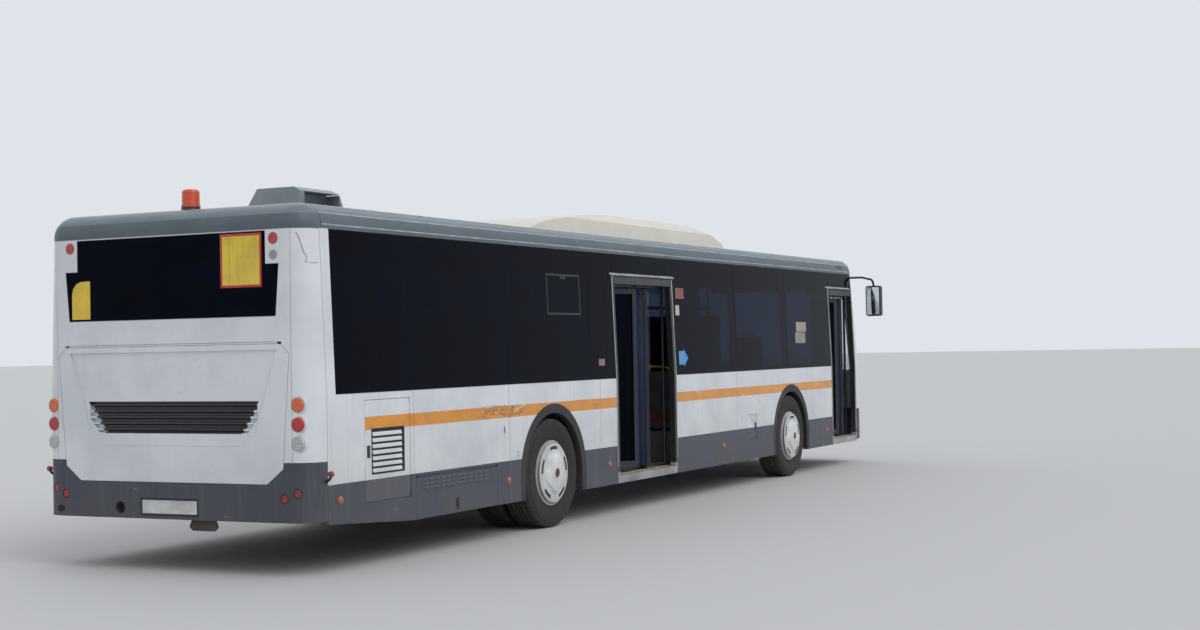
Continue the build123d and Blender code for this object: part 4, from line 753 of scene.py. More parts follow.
def mirrored(piece, name):
    """A copy on the other side of the bus."""
    made_active(piece)
    bpy.ops.object.duplicate()
    twin = bpy.context.object
    twin.name = name
    twin.scale = (1, -1, 1)
    bpy.ops.object.transform_apply(location=True, rotation=True, scale=True)
    return edited(twin, flip_normals={})


def placed(piece, matrix):
    piece.data.transform(matrix)
    return piece


def prism_look(name, rough, coat, scale, most, first, second):
    """A moulded lens: square prisms with darker joints."""
    new_look(name, rough, coat)
    cells = put("TexVoronoi", {"Vector": object_place(), "Scale": scale}, distance="CHEBYCHEV")
    cells = cells.outputs["Distance"]
    return finish(blended(band(cells, 0.1, 0.5, 0.0, most), first, second), cells, 0.0008)


marker_places = ((-5.870, 0.520), (-3.454, 0.474), (-1.550, 0.475), (1.219, 0.481), (4.55, 0.481))
marker_look = prism_look("marker_lens", 0.2, 0.5, 160.0, 0.5, shade(206, 108, 58), shade(120, 56, 26))
marker_line = [(0, -1.268, 0), (0.010, -1.2675, 0), (0.020, -1.264, 0), (0.026, -1.257, 0),
               (0.030, -1.255, 0), (0.032, -1.249, 0), (0, -1.249, 0)]
markers = [placed(spun("marker", marker_line, (0, 0, 0), (0, 1, 0), 28),
                  Matrix.Translation((marker_x, 0, marker_z))) for marker_x, marker_z in marker_places]
right_markers = shown(joined("side_markers_right", markers), marker_look)
shown(mirrored(right_markers, "side_markers_left"), marker_look)


# Plates: a blank pressed plate in a black frame, in the pocket of each bumper. The rear one sits a
# little off the middle.
def extruded(name, outline, reach):
    """A closed outline, filled and drawn out along the vector reach."""
    return edited(drawn_line(name, outline, True), edge_face_add={},
                  extrude_region_move={"TRANSFORM_OT_translate": {"value": reach}},
                  normals_make_consistent={"inside": False})


def plain_look(name, first, second, rough, metal=0.0, coat=0.0, grain=90.0, depth=0.0004, scale=6.0):
    new_look(name, rough, coat, Metallic=metal)
    tone = toned(first, second, scale, 0.6)
    worn = scuffed(tone["Colour"], second, 0.4, 22.0)
    soft = edged(0.002)
    fine = cloud(grain, 4.0)
    return finish(worn["Colour"], fine, depth, soft["Normal"])


plate_white = plain_look("plate_white", shade(214, 216, 214), shade(176, 174, 166), 0.35, coat=0.3)
plate_black = plain_look("plate_frame_black", shade(26, 27, 30), shade(48, 48, 48), 0.5)
plates = {"rear": (-6.1995, -6.1865, 0.025, 0.470, 1), "front": (6.192, 6.179, 0.0, 0.464, -1)}
for plate_name, (face, back, middle, height, sign) in plates.items():
    plate_rim = raw_block(
        f"plate_frame_{plate_name}", (min(face, back), middle - 0.2665, height - 0.0625),
        (max(face, back), middle + 0.2665, height + 0.0625))
    sunk(plate_rim, looking("x", -sign), 0.012, -0.005)
    shown(rounded(plate_rim, 0.002), plate_black)
    plate_face = face + sign * 0.0035
    plate = raw_block(f"blank_plate_{plate_name}", (min(plate_face, back), middle - 0.254, height - 0.050),
                      (max(plate_face, back), middle + 0.254, height + 0.050))
    sunk(plate, looking("x", -sign), 0.006, -0.0012)
    shown(rounded(plate, 0.0012), plate_white)

# Reflectors: red prism discs in rubber rims, two to each end of the rear bumper; and end-outline
# markers on rubber stalks at the rear corners.
reflector_red = prism_look("reflector_red", 0.15, 0.6, 170.0, 1.0, shade(222, 38, 30), shade(120, 10, 12))
rim_rubber = plain_look("rim_rubber", shade(30, 31, 34), shade(56, 54, 52), 0.7)
rim_line = [(0.010, 0, 0.029), (0.0005, 0, 0.029), (0.0, 0, 0.031), (0.0005, 0, 0.034), (0.010, 0, 0.0345),
            (0.010, 0, 0.029)]
discs, rims = [], []
for side in (-1, 1):
    for along_y, height, face, turn in ((1.010, 0.551, -6.1992, 0.0), (1.118, 0.590, -6.1895, 14.0)):
        turned = Matrix.Translation((face, side * along_y, height)) @ Matrix.Rotation(
            math.radians(-side * turn), 4, "Z")
        disc = raw_round("disc", (0.006, 0, 0), 0.030, 0.008, 32)
        discs.append(smoothed(placed(sunk(disc, looking("x", -1), 0.004, 0.001), turned)))
        rims.append(placed(spun("rim", rim_line, (0, 0, 0), (1, 0, 0), 36), turned))
shown(joined("reflector_discs", discs), reflector_red)
shown(joined("reflector_rims", rims), rim_rubber)


def tube(name, points, radius, sides=4, kind="POLY"):
    """A round bar or pipe along points, with closed ends."""
    line = bpy.data.curves.new(name, "CURVE")
    line.dimensions = "3D"
    spline = line.splines.new(kind)
    spline.points.add(len(points) - 1)
    for point, place in zip(spline.points, points):
        point.co = (*place, 1.0)
    if kind == "NURBS":
        spline.order_u = 3
        spline.use_endpoint_u = True
        spline.resolution_u = 6
    line.bevel_depth = radius
    line.bevel_resolution = sides
    line.use_fill_caps = True
    made_active(linked(name, line))
    bpy.ops.object.convert(target="MESH")
    return smoothed(edited(bpy.context.object, remove_doubles={"threshold": 0.00005},
                           normals_make_consistent={"inside": False}), 50)


stalks, stalk_lenses = [], []
for side in (-1, 1):
    stalks.append(tube("stalk", [(-6.035, side * 1.215, 0.66), (-6.04, side * 1.262, 0.668),
                                 (-6.055, side * 1.300, 0.69), (-6.058, side * 1.308, 0.712)], 0.010,
                       kind="NURBS"))
    lens = raw_round("stalk_lens", (-6.060, side * 1.309, 0.722), 0.021, 0.030, 24)
    stalk_lenses.append(rounded(lens, 0.006, 3))
shown(joined("corner_marker_stalks", stalks), rim_rubber)
shown(joined("corner_marker_lenses", stalk_lenses), reflector_red)

# Rear window: on it a blank yellow sign in a red border and a blank yellow label, and behind it the
# dark route display with its grid of unlit dots. A wider display hangs behind the windscreen.
new_look("blank_sign", 0.4, 0.2)
sign_place = place_of()
sign_field = box_mask(sign_place, "YZ", (-0.6575, 2.238), (0.1645, 0.174))
sign_faded = toned(shade(236, 206, 60), shade(214, 182, 66), 5.0, 0.8)
sign_colour = blended(sign_field, shade(196, 40, 34), sign_faded["Colour"])
sign_road = streaked(sign_colour, shade(150, 138, 104), 0.5)
sign_look = finish(sign_road["Colour"], sign_faded["Mask"], 0.0003)
sign_face = -6.1998
sign = raw_block("blank_sign", (sign_face, -0.840, 2.046), (-6.1986, -0.475, 2.430))
sunk(sign, looking("x", -1), 0.018, -0.0003)
shown(rounded(sign, 0.0004), sign_look)
label_points = [(0.750, 1.852), (0.928, 1.852), (0.928, 2.040), (0.915, 2.085), (0.885, 2.118),
                (0.845, 2.134), (0.750, 2.137)]
label = extruded("blank_label", [(sign_face, y, z) for y, z in label_points], (0.0012, 0, 0))
label_look = plain_look("label_yellow", shade(238, 200, 52), shade(212, 176, 60), 0.4, coat=0.2)
sunk(label, looking("x", -1), 0.006, -0.0003)
shown(label, label_look)
new_look("display_dots", 0.45)
display_cells = put("TexVoronoi", {"Vector": stretched(0.0, 1.0, 1.0), "Scale": 95.0, "Randomness": 0.0})
display_tone = blended(
    band(display_cells.outputs["Distance"], 0.32, 0.26), shade(14, 15, 17), shade(74, 72, 44))
display_look = finish(display_tone, display_cells.outputs["Distance"], 0.0008)
for display_name, low, high, facing, bracket_top in (
        ("rear", (-6.190, -0.232, 2.232), (-6.110, 0.050, 2.428), -1, 2.530),
        ("front", (5.780, -0.800, 2.262), (5.900, 0.800, 2.440), 1, 2.585)):
    display_case = raw_block(f"route_display_{display_name}", low, high)
    sunk(display_case, looking("x", facing), 0.014, -0.004)
    shown(rounded(display_case, 0.003), display_look)
    hang_x = (low[0] + high[0]) / 2
    hanger = raw_block(
        f"display_bracket_{display_name}", (hang_x - 0.02, low[1] + 0.03, high[2] - 0.005),
        (hang_x + 0.02, high[1] - 0.03, bracket_top))
    sunk(hanger, looking("x", 0), 0.012, -0.004)
    shown(rounded(hanger, 0.003), plate_black)

# Side trim: rain gutters over the doors, bright jamb strips, rubber-framed tilting vents, blank tags
# on the glass, and the ridges of the cove along both roof edges.
belt_z, eaves_z = 1.272, 2.455
side_half, side_lean = 1.250, 0.043


def side_y(height):
    """Half the body's width at a height; above the belt the side leans in."""
    return side_half - side_lean * max(0.0, height - belt_z) / (eaves_z - belt_z)


def side_strip(name, x0, x1, z0, z1, proud, side=-1):
    """A flat strip on the body's side, which leans in above the belt."""
    heights = [z0] + ([belt_z] if z0 < belt_z < z1 else []) + [z1]
    outer = [(x0, side * (side_y(z) + proud), z) for z in heights]
    inner = [(x0, side * (side_y(z) - 0.002), z) for z in reversed(heights)]
    return extruded(name, outer + inner, (x1 - x0, 0, 0))


alloy_look = plain_look(
    "worn_alloy", shade(188, 191, 194), shade(132, 134, 136), 0.42, metal=0.6, grain=160.0)
gutters = []
for x0, x1, height in ((-1.420, 0.030, 2.252), (4.700, 5.640, 2.256)):
    edge = side_y(height)
    profile = [(x0, -edge + 0.002, height), (x0, -edge - 0.016, height - 0.004),
               (x0, -edge - 0.018, height + 0.012), (x0, -edge - 0.014, height + 0.012),
               (x0, -edge - 0.012, height + 0.002), (x0, -edge - 0.001, height + 0.020),
               (x0, -edge + 0.002, height + 0.020)]
    gutters.append(rounded(extruded("gutter", profile, (x1 - x0, 0, 0)), 0.001, 1))
shown(joined("door_gutters", gutters), alloy_look)
jambs = [rounded(side_strip("jamb", x - 0.007, x + 0.007, 0.440, 2.245, 0.0035), 0.0012, 1)
         for x in (-1.372, 0.002, 4.791, 5.722)]
shown(joined("door_jamb_strips", jambs), alloy_look)
vents = {"right": [(-2.683, -2.052)], "left": [(-2.683, -2.052), (0.480, 1.190)]}
vent_rubber = plain_look("vent_rubber", shade(40, 43, 48), shade(64, 66, 70), 0.6)
for side_name, runs in vents.items():
    side = -1 if side_name == "right" else 1
    bars = []
    for x0, x1 in runs:
        for a, b, low, high in (
                (x0, x1, 1.866, 1.884), (x0, x1, 2.212, 2.230), (x0, x0 + 0.016, 1.884, 2.212),
                (x1 - 0.016, x1, 1.884, 2.212)):
            bars.append(side_strip("bar", a, b, low, high, 0.0035, side))
        handle_x = (x0 + x1) / 2
        bars.append(side_strip("bar", handle_x - 0.05, handle_x + 0.05, 2.188, 2.212, 0.003, side))
    shown(rounded(joined(f"vent_frames_{side_name}", bars), 0.0012, 1), vent_rubber)
for tag_name, x0, x1, z0, z1, tag_colour in (
        ("tag_orange", 0.085, 0.290, 2.050, 2.160, shade(132, 62, 44)),
        ("tag_white", 0.066, 0.160, 1.880, 1.984, shade(196, 194, 184)),
        ("tag_small", -1.726, -1.604, 1.400, 1.462, shade(158, 104, 98)),
        # The two paper sheets are dimmed, as painted shade for paper that hangs behind the tinted glass.
        ("sheet_upper", 3.581, 3.925, 1.708, 1.825, shade(158, 152, 132)),
        ("sheet_lower", 3.538, 3.881, 1.571, 1.700, shade(142, 138, 120))):
    tag = side_strip(tag_name, x0, x1, z0, z1, 0.0012)
    sunk(tag, looking("y", -1), 0.008, -0.0003)
    tag_low = tuple(part * 0.7 for part in tag_colour[:3]) + (1.0,)
    shown(tag, plain_look(f"{tag_name}_film", tag_colour, tag_low, 0.4, coat=0.2))
arrow_points = [(0.095, 1.376), (0.215, 1.376), (0.215, 1.354), (0.325, 1.445), (0.215, 1.536),
                (0.215, 1.514), (0.095, 1.514)]
arrow = extruded("blue_label", [(x, -side_y(z) - 0.0012, z) for x, z in arrow_points], (0, 0.0014, 0))
sunk(arrow, looking("y", -1), 0.006, -0.0003)
shown(arrow, plain_look("blue_label_film", shade(62, 152, 214), shade(44, 120, 184), 0.4, coat=0.2))
ridge_look = plain_look(
    "cove_ridge", shade(176, 184, 190), shade(120, 130, 138), 0.45, metal=0.2, grain=120.0)
ridge_x = (-5.985, 5.735)
cove_middle = (1.0412, 2.475)
ridge_line = ((-0.006, 0.1640), (-0.006, 0.1670), (-0.004, 0.1690), (0.004, 0.1690), (0.006, 0.1670),
              (0.006, 0.1640))
ridges = []
for side in (-1, 1):
    for turn in (math.radians(angle) for angle in (3, 34, 66)):
        outline = []
        for off, radius in ridge_line:
            y = cove_middle[0] + radius * math.cos(turn) - off * math.sin(turn)
            z = cove_middle[1] + radius * math.sin(turn) + off * math.cos(turn)
            outline.append((ridge_x[0], side * y, z))
        ridges.append(extruded("ridge", outline, (ridge_x[1] - ridge_x[0], 0, 0)))
shown(joined("cove_ridges", ridges), ridge_look)

# Corner damage: the lacquer has cracked open at the top of the right rear corner post, and the crack
# shows dark filler with a rusty edge.
crack_look = plain_look("crack_filler", shade(48, 38, 32), shade(104, 66, 42), 0.8, grain=300.0, depth=0.001)


def on_skin(node, start, direction, proud):
    """Where a line from start meets a CAD node, moved out along its normal."""
    inverse = nodes[node].matrix_world.inverted()
    found, place, normal, _ = nodes[node].ray_cast(
        inverse @ Vector(start), inverse.to_3x3() @ Vector(direction))
    return tuple(place + normal * proud) if found else None


crack_points = [on_skin("rear_cap", start, direction, 0.0003)
                for start, direction in (
                    ((-8, -1.120, 2.420), (1, 0, 0)), ((-8, -1.135, 2.385), (1, 0, 0)),
                    ((-8, -1.150, 2.330), (1, 0, 0)), ((-8, -1.160, 2.285), (1, 0, 0)),
                    ((-8, -1.178, 2.242), (1, 0, 0)), ((-6.135, -2.0, 2.214), (0, 1, 0)),
                    ((-6.090, -2.0, 2.204), (0, 1, 0)), ((-6.045, -2.0, 2.210), (0, 1, 0)))]
crack = tube("corner_crack", [point for point in crack_points if point], 0.0022, 1)
shown(crack, crack_look)

# Hatch latches: black paddles in shallow dishes, one on each of the four hatches in the sides. Each
# rides on its own hatch.
latch_look = plain_look("latch_black", shade(34, 35, 38), shade(74, 74, 74), 0.45)
for latch_body, side, middle_x, middle_z in (
        ("louvre_door", -1, -5.508, 0.842), ("engine_flap", -1, -4.273, 0.360),
        ("fuel_flap", -1, 2.150, 0.648), ("radiator_door", 1, -5.718, 0.842)):
    dish = side_strip("dish", middle_x - 0.020, middle_x + 0.020, middle_z - 0.045, middle_z + 0.045, 0.004,
                      side)
    sunk(dish, looking("y", side), 0.006, -0.003)
    paddle = side_strip(
        "paddle", middle_x - 0.011, middle_x + 0.011, middle_z - 0.030, middle_z + 0.030, 0.0055, side)
    latch = joined(f"latch_{latch_body}_{int(abs(middle_x) * 100)}",
                   [rounded(dish, 0.0015, 1), rounded(paddle, 0.0015)])
    shown(latch, latch_look, latch_body)

# Door edges: navy rubber on each leaf's leading edge and a bright upright grab bar on its inside.
# The leaf's own line is read from its frame.
navy_rubber = plain_look("navy_rubber", shade(34, 46, 86), shade(24, 30, 54), 0.6, grain=180.0)
for door in ("mid_door", "front_door"):
    for leaf in ("rear", "front"):
        node = nodes[f"{door}_{leaf}_leaf"]
        corners = [node.matrix_world @ vertex.co for vertex in node.data.vertices]
        best = None
        for angle in (-28, 28):
            ahead_x, ahead_y = math.cos(math.radians(angle)), math.sin(math.radians(angle))
            runs = [corner.x * ahead_x + corner.y * ahead_y for corner in corners]
            offs = [corner.y * ahead_x - corner.x * ahead_y for corner in corners if corner.z < 2.0]
            if best is None or max(offs) - min(offs) < best[0]:
                best = (max(offs) - min(offs), angle, min(runs), max(runs), min(offs), max(offs))
        _, angle, run0, run1, off0, off1 = best
        turned = Matrix.Rotation(math.radians(angle), 4, "Z")
        lead = run0 if leaf == "front" else run1
        inward = -1 if leaf == "front" else 1
        edge_x = lead - 0.020 * inward
        edge_bar = raw_block(
            "edge", (edge_x - 0.010, off0 - 0.002, 0.400), (edge_x + 0.010, off1 + 0.002, 2.125))
        edge_bar = placed(rounded(edge_bar, 0.005), turned)
        edge_bar.name = f"{door}_{leaf}_edge_rubber"
        shown(edge_bar, navy_rubber, f"{door}_{leaf}_leaf")
        bar_off = off1 + 0.016
        bar_run = lead - 0.050 * inward
        grab = tube(f"{door}_{leaf}_grab_bar", [
                        (bar_run, off1 - 0.004, 0.78), (bar_run, bar_off, 0.79), (bar_run, bar_off, 1.49),
                        (bar_run, off1 - 0.004, 1.50)], 0.009)
        shown(placed(grab, turned), alloy_look, f"{door}_{leaf}_leaf")

# Mirrors' glass, a silvered pane in each housing, and two wipers. Blades and arms lie on the
# windscreen's curve, which is found by rays.
new_look("mirror_glass", 0.04, Metallic=1.0)
mirror_glass = finish(toned(shade(208, 214, 220), shade(190, 198, 204), 9.0, 0.5)["Colour"])
panes = []
for side in (-1, 1):
    pane = raw_block("pane", (6.0515, side * 1.410 - 0.088, 1.925), (6.0560, side * 1.410 + 0.088, 2.295))
    sunk(pane, looking("x", -1), 0.006, 0.0008)
    panes.append(rounded(pane, 0.001, 1))
shown(joined("mirror_panes", panes), mirror_glass)
wiper_rubber = plain_look("wiper_black", shade(24, 24, 26), shade(50, 50, 50), 0.55)
wipers = []
for side in (-1, 1):
    reach = [0.42 + 0.07 * step for step in range(9)]
    blade = [on_skin("windscreen", (8, side * y, 1.215 + 0.10 * (y - 0.42)), (-1, 0, 0), 0.007)
             for y in reach]
    blade = [point for point in blade if point]
    wipers.append(tube("blade", blade, 0.006, 2))
    foot = [on_skin("front_cap", (8, side * 0.50, 1.10), (-1, 0, 0), proud) for proud in (-0.004, 0.010)]
    arm = foot + [on_skin("windscreen", (8, side * 0.60, 1.190), (-1, 0, 0), 0.016), blade[len(blade) // 2]]
    wipers.append(tube("arm", [point for point in arm if point], 0.005, 2))
shown(joined("wipers", wipers), wiper_rubber)

# Inside: lamp strips along the ceiling, clamps and stop buttons on the poles, and yellow nosings on
# the steps and the podium edges.
lamp_cover = plain_look("lamp_cover", shade(232, 234, 230), shade(206, 206, 198), 0.35, grain=40.0)
strips = []
for side in (-1, 1):
    profile = [(-5.60, side * 0.56, 2.581), (-5.60, side * 0.58, 2.556), (-5.60, side * 0.66, 2.548),
               (-5.60, side * 0.74, 2.556), (-5.60, side * 0.76, 2.581)]
    strips.append(rounded(extruded("strip", profile, (10.9, 0, 0)), 0.003, 1))
shown(joined("ceiling_lamp_covers", strips), lamp_cover)
clamp_look = plain_look("clamp_grey", shade(92, 94, 98), shade(64, 66, 70), 0.5)
clamp_line = [(0.0172, 0, -0.035), (0.024, 0, -0.033), (0.027, 0, -0.020), (0.027, 0, 0.020),
              (0.024, 0, 0.033), (0.0172, 0, 0.035), (0.0172, 0, -0.035)]
clamps, buttons = [], []
for poles, pole_y in (((0.150, 1.220, 2.290), 0.640), ((-4.620, -3.230, -1.600), 0.285)):
    for pole_x in poles:
        for side in (-1, 1):
            clamps.append(placed(spun("clamp", clamp_line, (0, 0, 0), (0, 0, 1), 20),
                                 Matrix.Translation((pole_x, side * pole_y, 1.980))))
            button = raw_block(
                "button", (pole_x - 0.028, side * pole_y - 0.030, 1.42),
                (pole_x + 0.028, side * pole_y + 0.030, 1.52))
            sunk(button, looking("x", 1), 0.010, 0.004)
            buttons.append(rounded(button, 0.006))
shown(joined("pole_clamps", clamps), clamp_look)
new_look("button_box", 0.4, 0.2)
button_place = place_of()
button_band = window(button_place["Z"], 1.447, 1.493)
button_tone = toned(shade(196, 34, 34), shade(160, 24, 26), 20.0, 0.5)
button_soft = edged(0.002)
button_look = finish(
    blended(button_band, shade(232, 200, 60), button_tone["Colour"]), None, 0, button_soft["Normal"])
shown(joined("stop_buttons", buttons), button_look)
nosing_look = plain_look(
    "step_nosing", shade(226, 190, 48), shade(150, 128, 60), 0.6, grain=220.0, depth=0.001, scale=12.0)
nosings = [rounded(raw_block("nosing", low, high), 0.003) for low, high in (
               ((0.165, 0.696, 0.672), (2.140, 0.712, 0.699)),
               ((0.165, -0.712, 0.672), (2.140, -0.696, 0.699)),
               ((-1.815, -0.290, 0.562), (-1.795, 0.290, 0.585)),
               ((-4.664, -0.900, 1.062), (-4.640, 0.900, 1.084)),
               ((-1.300, -1.185, 0.352), (-0.070, -1.165, 0.364)),
               ((4.860, -1.185, 0.352), (5.680, -1.165, 0.364)))]
shown(joined("step_nosings", nosings), nosing_look)

# Seats: moulded grey shells on short legs, each with a crowned squab and back pad. The two pads are
# blown up once by a cloth simulation from flat cushions, then copied to every place.
shell_look = plain_look("seat_shell", shade(84, 88, 96), shade(60, 63, 70), 0.5, grain=200.0)
new_look("seat_fabric", 0.92, Sheen_Weight=0.4)
fabric_place = object_place()
weave_across = put(
    "TexWave", {"Vector": fabric_place, "Scale": 260.0, "Distortion": 0.6}, bands_direction="Y")
weave_up = put("TexWave", {"Vector": fabric_place, "Scale": 260.0, "Distortion": 0.6},
               bands_direction="DIAGONAL")
weave = times(weave_across.outputs["Fac"], weave_up.outputs["Fac"])
fabric_fleck = put("TexVoronoi", {"Vector": fabric_place, "Scale": 34.0}, distance="MINKOWSKI")
fabric_pick = cloud(21.0, 1.0, fabric_place)
fabric_base = toned(shade(150, 40, 50), shade(118, 30, 44), 7.0, 0.8)
fleck_mask = band(fabric_fleck.outputs["Distance"], 0.34, 0.28)
fleck_tone = blended(band(fabric_pick, 0.48, 0.52), shade(58, 78, 138), shade(212, 168, 76))
fabric_colour = blended(fleck_mask, fabric_base["Colour"], fleck_tone)
fabric_thread = blended(times(weave, 0.35), fabric_colour, shade(60, 16, 22))
fabric_look = finish(fabric_thread, weave, 0.0006)


def blown_pad(name, size, cap):
    """A flat cushion, blown up by cloth pressure; no point moves farther than cap."""
    half = [part / 2 for part in size]
    pad = raw_block(name, [-part for part in half], half)
    applied(pad, "BEVEL", width=size[2] * 0.35, segments=2)
    applied(pad, "REMESH", mode="VOXEL", voxel_size=0.0155)
    start = [vertex.co.copy() for vertex in pad.data.vertices]
    made_active(pad)
    cloth = pad.modifiers.new("cloth", "CLOTH")
    cloth.settings.use_pressure = True
    cloth.settings.uniform_pressure_force = 4.0
    cloth.settings.effector_weights.gravity = 0.0
    for number in range(1, 21):
        bpy.context.scene.frame_set(number)
    bpy.ops.object.modifier_apply(modifier="cloth")
    bpy.context.scene.frame_set(1)
    for vertex, first in zip(pad.data.vertices, start):
        moved = vertex.co - first
        if moved.length > cap:
            vertex.co = first + moved * (cap / moved.length)
    return smoothed(pad, 60)


squab_pad = blown_pad("squab_pad", (0.360, 0.370, 0.034), 0.016)
back_pad = blown_pad("back_pad", (0.520, 0.370, 0.030), 0.014)
low_base, front_base, rear_base = 0.295, 0.640, 0.620
pairs = (-0.960, -0.520, 0.520, 0.960)
seat_rows = [(0.430, low_base, (-0.960, 0.960)), (1.180, low_base, (-0.960, 0.960)),
             (1.850, low_base, (-0.960, 0.960)), (3.050, front_base, (-0.880, 0.880)), (-1.950, 0.800, pairs),
             (-2.480, rear_base, (-0.880, 0.880)), (-3.000, rear_base, (-0.880, 0.880)),
             (-3.640, 0.800, pairs), (-4.330, 0.800, pairs), (-5.050, 1.080, pairs),
             (-5.720, 1.080, (-0.920, -0.460, 0.0, 0.460, 0.920)), (4.980, 0.560, (0.620,))]
shell_side = [(0.222, 0.402), (0.236, 0.432), (0.215, 0.440), (0.190, 0.424), (-0.155, 0.418),
              (-0.180, 0.460), (-0.226, 0.960), (-0.236, 1.012), (-0.262, 1.016), (-0.252, 0.955),
              (-0.205, 0.430), (-0.170, 0.402)]
shell = extruded("seat_shell", [(x, -0.208, z) for x, z in shell_side], (0, 0.416, 0))
shell = rounded(shell, 0.006)
grip = tube("seat_grip", [(-0.262, -0.165, 0.930), (-0.285, -0.150, 1.030), (-0.275, -0.115, 1.066),
                          (-0.275, 0.115, 1.066), (-0.285, 0.150, 1.030), (-0.262, 0.165, 0.930)], 0.010, 2,
            "NURBS")
leg = extruded("seat_leg", [(-0.070, -0.045, 0.0003), (0.070, -0.045, 0.0003), (0.070, 0.045, 0.0003),
                            (-0.070, 0.045, 0.0003)], (0, 0, 0.403))
picked(leg, looking("z", 1))
bpy.ops.mesh.inset(thickness=0.008, depth=0)
bpy.ops.object.mode_set(mode="OBJECT")
leg = rounded(leg, 0.006)
squab_pad.data.transform(Matrix.Translation((0.022, 0, 0.446)) @ Matrix.Rotation(math.radians(-1.5), 4, "Y"))
back_pad.data.transform(Matrix.Translation((-0.176, 0, 0.728)) @ Matrix.Rotation(math.radians(-84.8), 4, "Y"))
seat_parts = {"seat_shells": (shell, shell_look, []), "seat_grips": (grip, nosing_look, []),
              "seat_legs": (leg, clamp_look, []), "seat_squab_pads": (squab_pad, fabric_look, []),
              "seat_back_pads": (back_pad, fabric_look, [])}
for row_x, base, places in seat_rows:
    for place_y in places:
        for part_name, (part, _, made) in seat_parts.items():
            if part_name == "seat_legs" and base in (low_base, front_base, rear_base):
                continue
            twin = linked(part_name, part.data.copy())
            made.append(placed(twin, Matrix.Translation((row_x, place_y, base))))
for part_name, (part, part_look, made) in seat_parts.items():
    bpy.data.objects.remove(part)
    piece = shown(joined(part_name, made), part_look)
    if part_name == "seat_shells":
        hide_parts("seats")

# Underneath: air tanks, a propeller shaft, a silencer with its two pipes, and the tow bracket, all in
# black paint with rust and road dust.
tank_look = weathered(
    "tank_paint", shade(46, 46, 48), shade(64, 56, 48), 0.55, dirt=0.9, dirt_top=1.6, streaks=0.2, scuffs=0.5,
    bare=shade(116, 72, 46), grain=70.0, depth=0.0008, dust=shade(112, 100, 84))
tank_line = [(0.0, 0, 0.0), (0.006, 0, 0.052), (0.030, 0, 0.092), (0.060, 0, 0.105), (0.640, 0, 0.105),
             (0.670, 0, 0.092), (0.694, 0, 0.052), (0.700, 0, 0.0)]
tanks = [placed(spun("tank", tank_line, (0, 0, 0), (1, 0, 0), 28), Matrix.Translation(tank_place))
         for tank_place in ((-4.50, 0.80, 0.655), (-4.50, -0.76, 0.655), (-1.96, 0.0, 0.640))]
shown(joined("air_tanks", tanks), tank_look)
shaft = tube("propeller_shaft", [(-4.71, 0, 0.640), (-4.60, 0, 0.632), (-2.98, 0, 0.515), (-2.90, 0, 0.505)],
             0.048, 6)
shown(shaft, tank_look)
silencer = raw_block("silencer", (-5.66, 0.66, 0.425), (-4.98, 1.02, 0.665))
silencer = rounded(sunk(silencer, looking("x", 0), 0.03, -0.012), 0.05, 4)
pipe = tube("exhaust_pipe", [(-5.40, 0.56, 0.70), (-5.35, 0.66, 0.62), (-5.35, 0.80, 0.56)], 0.045, 4,
            "NURBS")
tail_pipe = tube("tail_pipe",
                 [(-5.64, 0.84, 0.52), (-5.78, 0.85, 0.49), (-5.90, 0.88, 0.455), (-5.95, 0.91, 0.435)],
                 0.036, 4, "NURBS")
shown(joined("silencer_and_pipes", [silencer, pipe, tail_pipe]), tank_look)
tow_plate = [(0.10, 0.395), (0.13, 0.330), (0.10, 0.300), (-0.10, 0.300), (-0.13, 0.330), (-0.10, 0.395)]
tow_bracket = extruded("tow_bracket", [(-6.155, y - 0.25, z) for y, z in tow_plate], (0.020, 0, 0))
shown(rounded(tow_bracket, 0.004), tank_look)

# Pressed louvres: three rows of small hoods on the engine flap, and white slats over a dark plate
# in the louvred hatch, which is painted shade for the opening behind them.
flap_plate = side_strip("flap_plate", -4.780, -3.770, 0.496, 0.598, 0.0008)
hood_line = ((0.0, 0.0), (0.0060, 0.001), (0.0065, 0.005), (0.0040, 0.012), (0.0, 0.018))
hoods = [rounded(flap_plate, 0.0003, 1)]
for row in range(3):
    for column in range(12):
        hood_x = -4.760 + column * 0.0818
        hood_z = 0.508 + row * 0.030
        outline = [(hood_x, -side_half - out, hood_z + up) for out, up in hood_line]
        hood_piece = extruded("hood", outline, (0.058, 0, 0))
        sunk(hood_piece, looking("x", 0), 0.001, 0.003)
        hoods.append(smoothed(hood_piece, 60))
shown(joined("flap_louvres", hoods), skirt_look, "engine_flap")
# The dark plate behind the slats is painted shade for the opening.
louvre_shade_black = plain_look("louvre_shade_black", shade(22, 24, 26), shade(50, 48, 44), 0.7)
opening_plate = side_strip("louvre_opening", -5.470, -5.030, 0.672, 1.010, 0.0008)
sunk(opening_plate, looking("y", -1), 0.010, -0.0004)
shown(opening_plate, louvre_shade_black, "louvre_door")
slat_line = ((0.0008, 0.0), (0.0090, -0.004), (0.0100, 0.0), (0.0030, 0.024), (0.0008, 0.026))
slats = []
for number in range(7):
    slat_z = 0.690 + number * 0.0445
    outline = [(-5.460, -side_half - out, slat_z + up) for out, up in slat_line]
    slats.append(rounded(extruded("slat", outline, (0.385, 0, 0)), 0.0008, 1))
shown(joined("louvre_slats", slats), side_look, "louvre_door")

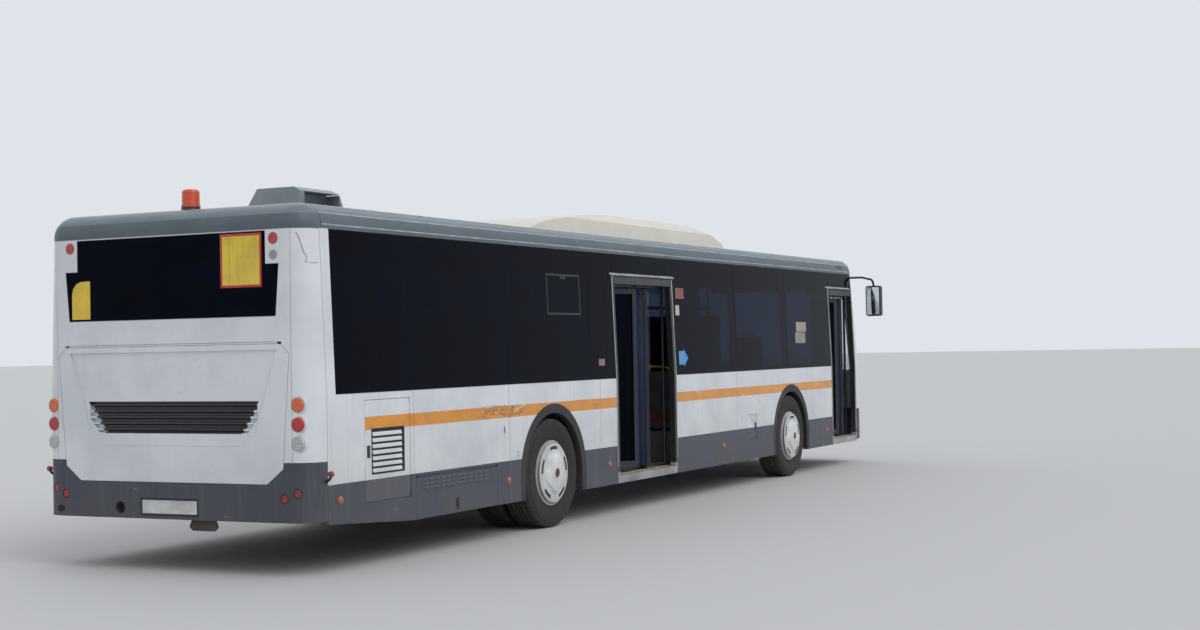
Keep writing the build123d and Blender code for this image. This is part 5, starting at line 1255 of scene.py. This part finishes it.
# Wheel covers: white moulded domes with a raised five-sided middle, five slots near the rim painted
# dark as painted shade in them, and a plain dark red disc at the hub.
dome_rim = 0.262
slot_low, slot_high = 0.206, 0.234
dome_line = [(0.0, 0.034), (0.040, 0.034), (0.043, 0.037), (0.049, 0.037), (0.053, 0.032), (0.100, 0.031),
             (0.138, 0.028), (0.152, 0.0255), (0.158, 0.0225), (0.163, 0.0135), (0.172, 0.0085),
             (0.190, 0.0060), (slot_low, 0.0050), (slot_high, 0.0045), (0.246, 0.0040), (0.258, 0.0010),
             (dome_rim, -0.006), (0.256, -0.006), (0.240, -0.001), (0.0, -0.001)]


def dome_look(axle):
    new_look(f"{axle}_dome_plastic", 0.42, 0.15)
    around = around_axle(axles[axle])
    base = toned(shade(226, 229, 230), shade(196, 199, 200), 7.0, 0.7)
    spoke = maths("COSINE", maths("MULTIPLY_ADD", around["Turn"], 5.0, -math.pi / 2))
    slot = times(window(around["Radius"], slot_low, slot_high + 0.001, 0.0015), band(spoke, 0.10, 0.20))
    dusty = times(band(around["Radius"], 0.15, 0.25), 0.4)
    rim = blended(dusty, base["Colour"], shade(150, 142, 130))
    chips = scuffed(rim, shade(120, 112, 104), 0.6, 26.0)
    # The slots are painted near black, as painted shade in the holes.
    shaded_holes = blended(slot, chips["Colour"], shade(18, 18, 20))
    disc = blended(band(around["Radius"], 0.042, 0.040), shaded_holes, shade(96, 24, 26))
    soft = edged(0.003)
    return finish(disc, chips["Mask"], 0.0006, soft["Normal"])


def five_fold(across_x, up_z):
    """1 where a slot has its middle, and -1 at the raised corners between two slots."""
    return math.cos(5 * math.atan2(up_z, across_x) - math.pi / 2)


for axle, axle_x in axles.items():
    dome_paint = dome_look(axle)
    for side_name, side in (("left", 1), ("right", -1)):
        wheel = nodes[f"{axle}_wheel_{side_name}"]
        places = [wheel.matrix_world @ vertex.co for vertex in wheel.data.vertices]
        face_y = max(abs(at.y) for at in places
                     if math.hypot(at.x - axle_x, at.z - axle_z) < dome_rim) + 0.002
        dome = spun("dome", [(axle_x + radius, side * (face_y + out), axle_z) for radius, out in dome_line],
                    (axle_x, 0, axle_z), (0, 1, 0), 60)
        for vertex in dome.data.vertices:
            across_x, up_z = vertex.co.x - axle_x, vertex.co.z - axle_z
            radius = math.hypot(across_x, up_z)
            if 0.12 < radius < 0.20:
                reach = 0.085 if radius < 0.18 else 0.04
                swell = 1 - reach * five_fold(across_x, up_z)
                vertex.co.x, vertex.co.z = axle_x + across_x * swell, axle_z + up_z * swell
        sunk(dome, lambda normal, middle: side * normal.y > 0.5
             and slot_low < math.hypot(middle.x - axle_x, middle.z - axle_z) < slot_high
             and five_fold(middle.x - axle_x, middle.z - axle_z) > 0.15, 0.0015, -0.0035)
        dome.name = f"{axle}_dome_{side_name}"
        shown(smoothed(dome, 40), dome_paint, wheel_body(axle, side_name))
